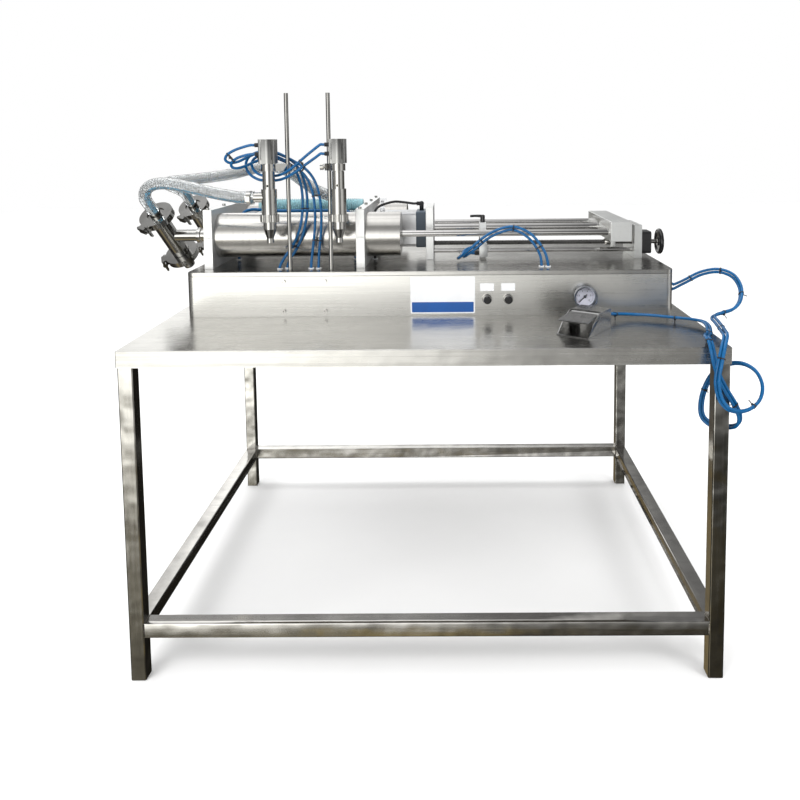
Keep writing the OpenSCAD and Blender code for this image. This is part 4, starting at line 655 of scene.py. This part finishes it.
dress("base_lid", [lid_sheet], None, 0.0015, lid_rim, 3, crisp=14)
for name in ("clamp_plates_lower", "clamp_plates_upper", "drive_plate", "end_plate", "stop_carriage"):
    dress(name, [satin_bar if name == "end_plate" else bright_plate], None, 0.0008,
          lambda c, d: d.length > 0.012, crisp=20)
dress("crosshead", [satin_bar], None, 0.0015, lambda c, d: d.length > 0.012, 3, crisp=14)
dress("air_end_caps", [cap_paint], None, 0.002, lambda c, d: d.length > 0.02 or abs(d.x) < 1e-5, 2, crisp=20)
dress("screw_housing", [black_gloss], None, 0.0015, lambda c, d: abs(d.x) < 1e-5, 2, crisp=20)
dress("limit_valve", [satin_bar, black_matt], lambda c, n: 1 if c.x < 0.2153 else 0, 0.0008,
      lambda c, d: d.length > 0.01)
# Actuator profiles carry painted highlight and painted shade bands in their base colour.
for tag, x in (("left", -0.39225), ("right", -0.19325)):
    dress(f"nozzle_{tag}_actuator", [painted_light_profile("slotted_" + tag, x, 0.031), black_matt],
          lambda c, n, x=x: 1 if c.x < x - 0.0232 else 0, 0.0006, lambda c, d: d.length > 0.02, crisp=20)
dress("pedal_housing", [pedal_metal], None, 0.0008, lambda c, d: d.length > 0.03, crisp=20)
dress("pedal_treadle", [pedal_metal], None, 0.0006, lambda c, d: d.length > 0.03, crisp=20)


def fitting_finish(c, n):
    if c.z < 0.95 and c.x > 0.74:
        return 2
    return 0 if c.x > -0.01 and c.z > 1.1 else 1


GAUGE_X, GAUGE_Z = 0.51275, 0.904


def gauge_finish(c, n):
    return 1 if math.hypot(c.x - GAUGE_X, c.z - GAUGE_Z) < 0.02895 and -0.2127 < c.y < -0.2103 else 0


dress("air_fittings", [black_matt, white_plastic, polished], fitting_finish)
dress("gauge_case", [bezel_chrome, dial_face], gauge_finish)


def lathe(name, profile_points, place, axis, mat, sides=48):
    """Turned piece: profile of (along, radius) in metres about an axis."""
    a = Vector(axis).normalized()
    u = a.orthogonal().normalized()
    v = a.cross(u)
    verts, faces = [], []
    count = len(profile_points)
    for k in range(sides):
        w = 2 * math.pi * k / sides
        ring_dir = u * math.cos(w) + v * math.sin(w)
        for s, r in profile_points:
            verts.append(Vector(place) + a * s + ring_dir * r)
    for k in range(sides):
        m = (k + 1) % sides
        for j in range(count - 1):
            faces.append((k * count + j, m * count + j, m * count + j + 1, k * count + j + 1))
    faces.append(tuple(k * count for k in range(sides - 1, -1, -1)))
    faces.append(tuple(k * count + count - 1 for k in range(sides)))
    return new_object(name, verts, faces, mat)


# Stroke screw: a real thread between its journals, turning with the handwheel
def screw_thread():
    pitch, sides, per = 0.005, 20, 8
    x0, x1 = 0.07275, 0.70675
    rows = int((x1 - x0) / pitch * per) + 1
    xs = np.linspace(x0, x1, rows)
    ang = np.arange(sides) * 2 * math.pi / sides
    phase = (xs[:, None] / pitch + ang[None] / (2 * math.pi)) % 1.0
    tooth = np.clip((np.abs(phase - 0.5) - 0.14) / 0.2, 0, 1)
    ends = np.clip(np.minimum(xs - x0, x1 - xs) / 0.004, 0, 1)[:, None]
    r = 0.008 - 0.0019 * tooth * ends
    verts = np.stack([
        np.repeat(xs, sides), (0.0485 + r * np.cos(ang)).ravel(), (1.029 + r * np.sin(ang)).ravel(),
    ], axis=1)
    screw = new_object("stroke_screw_thread", verts, skin(rows, sides) + end_caps(rows, sides), thread_steel)
    shafts = lathe("stroke_screw_shafts", [
        (0.060, 0.0055), (0.061, 0.006), (0.6250, 0.006), (0.6252, 0.0098), (0.6262, 0.0105), (0.6458, 0.0105),
        (0.647, 0.0098), (0.6472, 0.006), (0.712, 0.006), (0.7122, 0.007), (0.7895, 0.007), (0.790, 0.006),
        (0.8035, 0.006), (0.804, 0.0055),
    ], here(0, 105, 1029), (1, 0, 0), turned, 32)
    for ob in (screw, shafts):
        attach(ob, "stroke_setting")
        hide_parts("stroke_screw")


screw_thread()


# Spare suction hose: helical ribs on a soft bore, lying on the air cylinder
def suction_hose():
    lo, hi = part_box("suction_hose")
    x0, x1 = lo[0] + 0.0005, hi[0] - 0.0005
    pitch, sides, per = 0.0068, 40, 7
    bore = 0.0165
    rows = int((x1 - x0) / pitch * per) + 1
    s = np.linspace(0, 1, rows)
    xs = x0 + (x1 - x0) * s
    cy = 0.1085 + 0.0016 * np.sin(s * 7.0)
    ang = np.arange(sides) * 2 * math.pi / sides
    phase = 2 * math.pi * xs[:, None] / pitch - ang[None]
    cuff = np.clip(np.minimum(xs - x0, x1 - xs) / 0.03, 0, 1)[:, None]
    r = 0.0195 + 0.0019 * np.clip(np.cos(phase) * 1.4, -0.6, 1) * cuff
    flat = 1 - 0.02 * np.maximum(0, -np.sin(ang))[None]
    zc = lo[2] + 0.0215
    outer = np.stack([
        np.repeat(xs, sides), (cy[:, None] + r * np.cos(ang)).ravel(), (zc + r * flat * np.sin(ang)).ravel(),
    ], axis=1)
    inner = np.stack([
        np.repeat(xs, sides), (cy[:, None] + bore * np.cos(ang) * np.ones_like(r)).ravel(),
        (zc + bore * np.sin(ang) * np.ones_like(r)).ravel(),
    ], axis=1)
    both = zip(skin(rows, sides), skin(rows, sides, rows * sides, True))
    faces = [f for outside_inside in both for f in outside_inside] + end_walls(rows, sides)
    ob = new_object("suction_hose_ribbed", np.vstack([outer, inner]), faces, hose_teal)
    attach(ob, "machine")
    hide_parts("suction_hose")


suction_hose()


# Ribbed grips of the union nuts that hold the nozzle tips
def nut_grip(name, x, body):
    cx, cy, _ = here(x, NOZZLE_Y, 0)
    ribs, z0, z1, bore = 30, 1.1275, 1.1485, 0.0255
    ang = np.arange(4 * ribs) * 2 * math.pi / (4 * ribs)
    radius = np.tile([0.0262, 0.0270, 0.0270, 0.0262], ribs)
    rows = [(z0, -0.0006), (z0 + 0.0008, 0), (z1 - 0.0008, 0), (z1, -0.0006)]
    verts = [(cx + (r + dr) * math.cos(a), cy + (r + dr) * math.sin(a), z)
             for z, dr in rows for r, a in zip(radius, ang)]
    n = len(ang)
    faces = skin(len(rows), n)
    inner = len(verts)
    verts += [(cx + bore * math.cos(a), cy + bore * math.sin(a), z) for z in (z0, z1) for a in ang]
    for k in range(n):
        m = (k + 1) % n
        faces += [(m, k, inner + k, inner + m), (3 * n + k, 3 * n + m, inner + n + m, inner + n + k)]
        faces.append((inner + m, inner + k, inner + n + k, inner + n + m))
    ob = new_object(name, verts, faces, polished, False)
    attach(ob, body)


nut_grip("nut_grip_left", NOZZLE_X[0], BODY["nozzle_left_tip"])
nut_grip("nut_grip_right", NOZZLE_X[1], BODY["nozzle_right_tip"])


# Gauge dial: scale ticks and plain numbers on the face
def gauge_scale():
    y = -0.2117
    verts, faces = [], []
    for k in range(51):
        a = math.radians(225 - 270 * k / 50)
        long = k % 10 == 0
        r0, r1, w = (0.0205 if long else 0.0228), 0.0252, (0.0005 if long else 0.00022)
        d = np.array([math.cos(a), 0, math.sin(a)])
        n = np.array([-math.sin(a), 0, math.cos(a)]) * w
        base = len(verts)
        for r in (r0, r1):
            for sgn in (-1, 1):
                for lift_y in (0.0, 0.0002):
                    verts.append(np.array([GAUGE_X, y - lift_y, GAUGE_Z]) + d * r + n * sgn)
        faces += block(base)
    ticks = new_object("gauge_ticks", verts, faces, needle_paint, False)
    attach(ticks, "machine")
    for k in range(6):
        a = math.radians(225 - 54 * k)
        curve = bpy.data.curves.new(f"gauge_number_{k}", "FONT")
        curve.body = str(2 * k)
        curve.size = 0.0062
        curve.align_x = "CENTER"
        curve.align_y = "CENTER"
        curve.extrude = 0.0001
        text = bpy.data.objects.new(f"gauge_number_{k}", curve)
        scene.collection.objects.link(text)
        text.location = (GAUGE_X + 0.0165 * math.cos(a), y - 0.0001, GAUGE_Z + 0.0165 * math.sin(a))
        text.rotation_euler = (math.radians(90), 0, 0)
        curve.materials.append(needle_paint)
        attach(text, "machine")


gauge_scale()


# Clamping lever on the stop carriage: hub, tapered arm and rounded end
def lock_lever():
    hub = lathe("lock_lever_hub", [
        (-0.016, 0.0035), (-0.0155, 0.004), (0.0004, 0.004), (0.0005, 0.0072), (0.0013, 0.008), (0.013, 0.0072),
        (0.0185, 0.0078), (0.0225, 0.0066), (0.0238, 0.0035), (0.0240, 0.0002),
    ], here(235, 105, 1095), (0, 0, 1), black_gloss, 32)
    line = np.array([here(x, 105, z) for x, z in (
        (236, 1113.5), (228, 1114.5), (219, 1115.2), (210, 1115.2), (202, 1114.8), (197.5, 1114.5), (195.2, 1114.5),
        (194.6, 1114.5))])
    taper = [0.0052, 0.0048, 0.0043, 0.0041, 0.0043, 0.0042, 0.0030, 0.0006]
    arm = tube("lock_lever_arm", line, taper, 16, black_gloss, (0, 0, 1))
    for ob in (hub, arm):
        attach(ob, "lever")
        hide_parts("lock_lever")


lock_lever()


# Cable ties round pairs of tubes: strap, head and cut tail
TIE_R = 0.0041


def tie(name, a_line, b_line, at, body=None, start=None, end=None):
    a, _ = along(a_line, 0.004)
    b, _ = along(b_line, 0.004)
    i = min(len(a) - 2, max(1, int(at * len(a))))
    j = int(np.argmin(np.linalg.norm(b - a[i], axis=1)))
    t = a[i + 1] - a[i - 1]
    t /= np.linalg.norm(t)
    gap = b[j] - a[i]
    gap = gap - (gap @ t) * t
    h = np.linalg.norm(gap)
    d = gap / h if h > 1e-6 else np.cross(t, [0.3, 0.2, 0.9])
    d /= np.linalg.norm(d)
    e = np.cross(t, d)
    loop, steps = [], 10
    for k in range(steps + 1):
        w = -math.pi / 2 + math.pi * k / steps
        loop.append(a[i] + gap + TIE_R * (math.cos(w) * d + math.sin(w) * e))
    for k in range(steps + 1):
        w = math.pi / 2 + math.pi * k / steps
        loop.append(a[i] + TIE_R * (math.cos(w) * d + math.sin(w) * e))
    loop = np.array(loop)
    middle_point = a[i] + gap / 2
    n = len(loop)
    verts, faces = [], []
    for p in loop:
        outward = p - middle_point
        outward = outward - (outward @ t) * t
        outward /= np.linalg.norm(outward)
        for wide in (-0.0016, 0.0016):
            for thick in (0.0, 0.0011):
                verts.append(p + wide * t + thick * outward)
    for k in range(n):
        m = (k + 1) % n
        q, w = 4 * k, 4 * m
        faces += [(q, w, w + 2, q + 2), (q + 1, q + 3, w + 3, w + 1),
                  (q, q + 1, w + 1, w), (q + 2, w + 2, w + 3, q + 3)]
    head = middle_point + (TIE_R + 0.0004) * e
    base = len(verts)
    for su in (-0.0026, 0.0026):
        for sv in (-0.0024, 0.0024):
            for sw in (0.0, 0.0034):
                verts.append(head + su * d + sv * t + sw * e)
    faces += block(base)
    base = len(verts)
    for s in (0.0, 0.011):
        for sv in (-0.0012, 0.0012):
            for sd in (-0.0005, 0.0005):
                verts.append(head + (0.003 + s) * e + sv * t + sd * d + 0.2 * s * d)
    faces += block(base)
    ob = new_object(name, verts, faces, black_matt, False)
    if body:
        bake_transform(ob)
    else:
        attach(ob, "machine")


for k, at in enumerate((0.14, 0.34, 0.56, 0.76)):
    tie(f"carriage_tie_{k}", LINE["ca"], LINE["cb"], at, "carriage", **slip)
for k, at in enumerate((0.13, 0.30, 0.52, 0.66, 0.86)):
    tie(f"left_tie_{k}", LINE["la"], LINE["lb"], at, "nozzle_left", **lift)
tie("right_tie_0", LINE["ra"], LINE["rb"], 0.09, "nozzle_right", **reach)
for k, at in enumerate((0.24, 0.60, 0.75, 0.90)):
    tie(f"right_tie_{k + 1}", LINE["ra"], LINE["rb"], at, "nozzle_left", **pass_by)
for k, at in enumerate((0.035, 0.115, 0.21, 0.255, 0.335, 0.45, 0.57, 0.665, 0.735, 0.82, 0.875, 0.925, 0.965)):
    tie(f"pedal_tie_{k}", LINE["pa"], LINE["pb"], at)


# Printed blue band on the bare name plate
def name_band():
    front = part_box("panel_plates")[0][1]
    x0, x1, z0, z1, r = 0.01275, 0.19175, 0.8595, 0.8895, 0.0025
    outline = []
    for cx, cz, a0 in ((x1 - r, z0 + r, -90), (x1 - r, z1 - r, 0), (x0 + r, z1 - r, 90), (x0 + r, z0 + r, 180)):
        for k in range(5):
            a = math.radians(a0 + 22.5 * k)
            outline.append((cx + r * math.cos(a), cz + r * math.sin(a)))
    n = len(outline)
    verts = [(x, front + 0.0001, z) for x, z in outline] + [(x, front - 0.0002, z) for x, z in outline]
    faces = [tuple(range(n)), tuple(range(2 * n - 1, n - 1, -1))]
    faces += [((k + 1) % n, k, n + k, n + (k + 1) % n) for k in range(n)]
    ob = new_object("name_plate_band", verts, [f[::-1] for f in faces], plate_blue, False)
    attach(ob, "machine")


name_band()


# Weld beads where the stretchers meet the legs
def weld_beads():
    half = 0.019
    for sx in (-1, 1):
        for sy in (-1, 1):
            leg = np.array([0.05775 + sx * 0.7285, sy * 0.551, 0.131])
            for kind in (0, 1):
                face = leg + (np.array([-sx * half, 0, 0]) if kind == 0 else np.array([0, -sy * half, 0]))
                u = np.array([0, 1, 0]) if kind == 0 else np.array([1, 0, 0])
                v = np.array([0, 0, 1])
                pts, steps = [], 72
                for k in range(steps):
                    w = 2 * math.pi * k / steps
                    c, s = math.cos(w), math.sin(w)
                    square = (abs(c) ** 8 + abs(s) ** 8) ** (-1 / 8)
                    pts.append(face + (u * c + v * s) * square * (half - 0.0006))
                pts = np.array(pts + pts[:1])
                beads = 0.0019 + 0.0005 * np.sin(np.arange(len(pts)) * 2 * math.pi / 3.0)
                name = f"weld_{'ab'[sx > 0]}{'ab'[sy > 0]}{kind}"
                ob = tube(name, pts, beads, 8, weld_metal, (1, 1, 0) if kind else (1, 0, 0))
                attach(ob, "machine")


weld_beads()

# Floor, light and surroundings
floor = new_object("floor", [(-9, -4, 0), (9, -4, 0), (9, 14, 0), (-9, 14, 0)], [(0, 1, 2, 3)], None, False)
floor.location.z = -0.001
floor.visible_glossy = False
floor_mat, nt, bsdf = shader("floor_pale")
tone = ramp(nt, noise(nt, 3.0).outputs["Fac"], [(0.3, 0.94), (0.7, 0.97)])
nt.links.new(tone.outputs["Color"], bsdf.inputs["Base Color"])
bsdf.inputs["Roughness"].default_value = 0.9
floor.data.materials.append(floor_mat)


def area(name, place, target, size, power):
    """Soft light that the metal doesn't mirror."""
    light = bpy.data.lights.new(name, "AREA")
    light.shape = "RECTANGLE"
    light.size, light.size_y = size
    light.energy = power
    ob = bpy.data.objects.new(name, light)
    scene.collection.objects.link(ob)
    ob.location = place
    ob.rotation_euler = (Vector(target) - Vector(place)).to_track_quat("-Z", "Y").to_euler()
    ob.visible_glossy = False


area("key", (-2.2, -3.0, 3.4), (0, 0, 0.9), (2.4, 1.2), 90)
area("fill", (3.0, -2.6, 2.4), (0, 0, 0.9), (1.4, 1.4), 45)
area("top", (0, 0.8, 4.4), (0, 0.2, 0.9), (3.2, 1.6), 70)

# Surroundings seen in the metal: dark shop floor, a bright band at the front, grey walls and a bright ceiling
world = bpy.data.worlds.new("studio")
world.use_nodes = True
scene.world = world
nt = world.node_tree
back = nt.nodes["Background"]
coord = add(nt, "ShaderNodeTexCoord")
split = add(nt, "ShaderNodeSeparateXYZ", None, Vector=coord.outputs["Generated"])
height = spread(nt, split.outputs["Z"], 0, 1, -1, 1)
front = ramp(nt, height.outputs[0], [
    (0.0, (0.14, 0.13, 0.11)), (0.20, (0.15, 0.14, 0.115)), (0.28, (0.22, 0.21, 0.18)), (0.325, (0.42, 0.415, 0.39)),
    (0.35, (0.95, 0.945, 0.91)), (0.385, (1.7, 1.695, 1.65)), (0.48, (1.6, 1.6, 1.57)), (0.55, (1.3, 1.3, 1.29)),
    (0.61, 1.0), (0.66, 0.75), (0.72, 0.38), (0.85, 0.28), (0.93, 0.9), (1.0, 1.4),
])
rear = ramp(nt, height.outputs[0], [
    (0.0, (0.20, 0.185, 0.16)), (0.36, (0.09, 0.08, 0.066)), (0.47, (0.16, 0.15, 0.13)), (0.50, (0.40, 0.395, 0.39)),
    (0.56, (0.75, 0.75, 0.74)), (0.60, (1.1, 1.1, 1.08)), (0.645, (1.6, 1.6, 1.57)),
    (0.75, 1.1), (0.86, 1.0), (1.0, 1.4),
])
sideways = spread(nt, split.outputs["X"], 0, 1, -1, 1)
window = ramp(nt, sideways.outputs[0], [
    (0.14, 1), (0.30, (1.7, 1.7, 1.67)), (0.40, (1.5, 1.5, 1.48)), (0.46, 1.15), (0.50, 1),
])
facing = spread(nt, split.outputs["Y"], 0, 1, -0.25, 0.25)
around = mix(nt, facing.outputs[0], times(nt, front.outputs["Color"], window.outputs["Color"]), rear.outputs["Color"])
patches = add(nt, "ShaderNodeTexNoise", {"Scale": 4.2, "Detail": 3.0}, Vector=coord.outputs["Generated"])
mild = ramp(nt, patches.outputs["Fac"], [(0.34, 0.7), (0.5, 1.0), (0.66, 1.25)])
strong = ramp(nt, patches.outputs["Fac"], [
    (0.38, (0.45, 0.44, 0.42)), (0.48, (0.85, 0.84, 0.82)), (0.55, (1.2, 1.2, 1.18)), (0.64, (1.8, 1.5, 0.8)),
])
above_floor = spread(nt, height.outputs[0], 0, 1, 0.28, 0.33)
mottled = times(nt, around, mix(nt, above_floor.outputs[0], strong.outputs["Color"], mild.outputs["Color"]))
across = ramp(nt, sideways.outputs[0], [
    (0.0, 0.2), (0.14, 0.18), (0.24, 0.8), (0.34, 1.15), (0.45, 1.1), (0.50, 0.82), (0.55, 0.55), (0.60, 0.26),
    (0.66, 0.17), (0.80, 0.12), (0.90, 0.55), (1.0, 0.3),
])
room = times(nt, mottled, across.outputs["Color"])

# Even light on matt surfaces, and plain white where the camera sees past the floor
ray = add(nt, "ShaderNodeLightPath")
soft = mix(nt, ray.outputs["Is Diffuse Ray"], room, (1.12, 1.12, 1.12, 1))
nt.links.new(mix(nt, ray.outputs["Is Camera Ray"], soft, (1, 1, 1, 1)), back.inputs["Color"])
back.inputs["Strength"].default_value = 1.0
scene.view_settings.view_transform = "Standard"
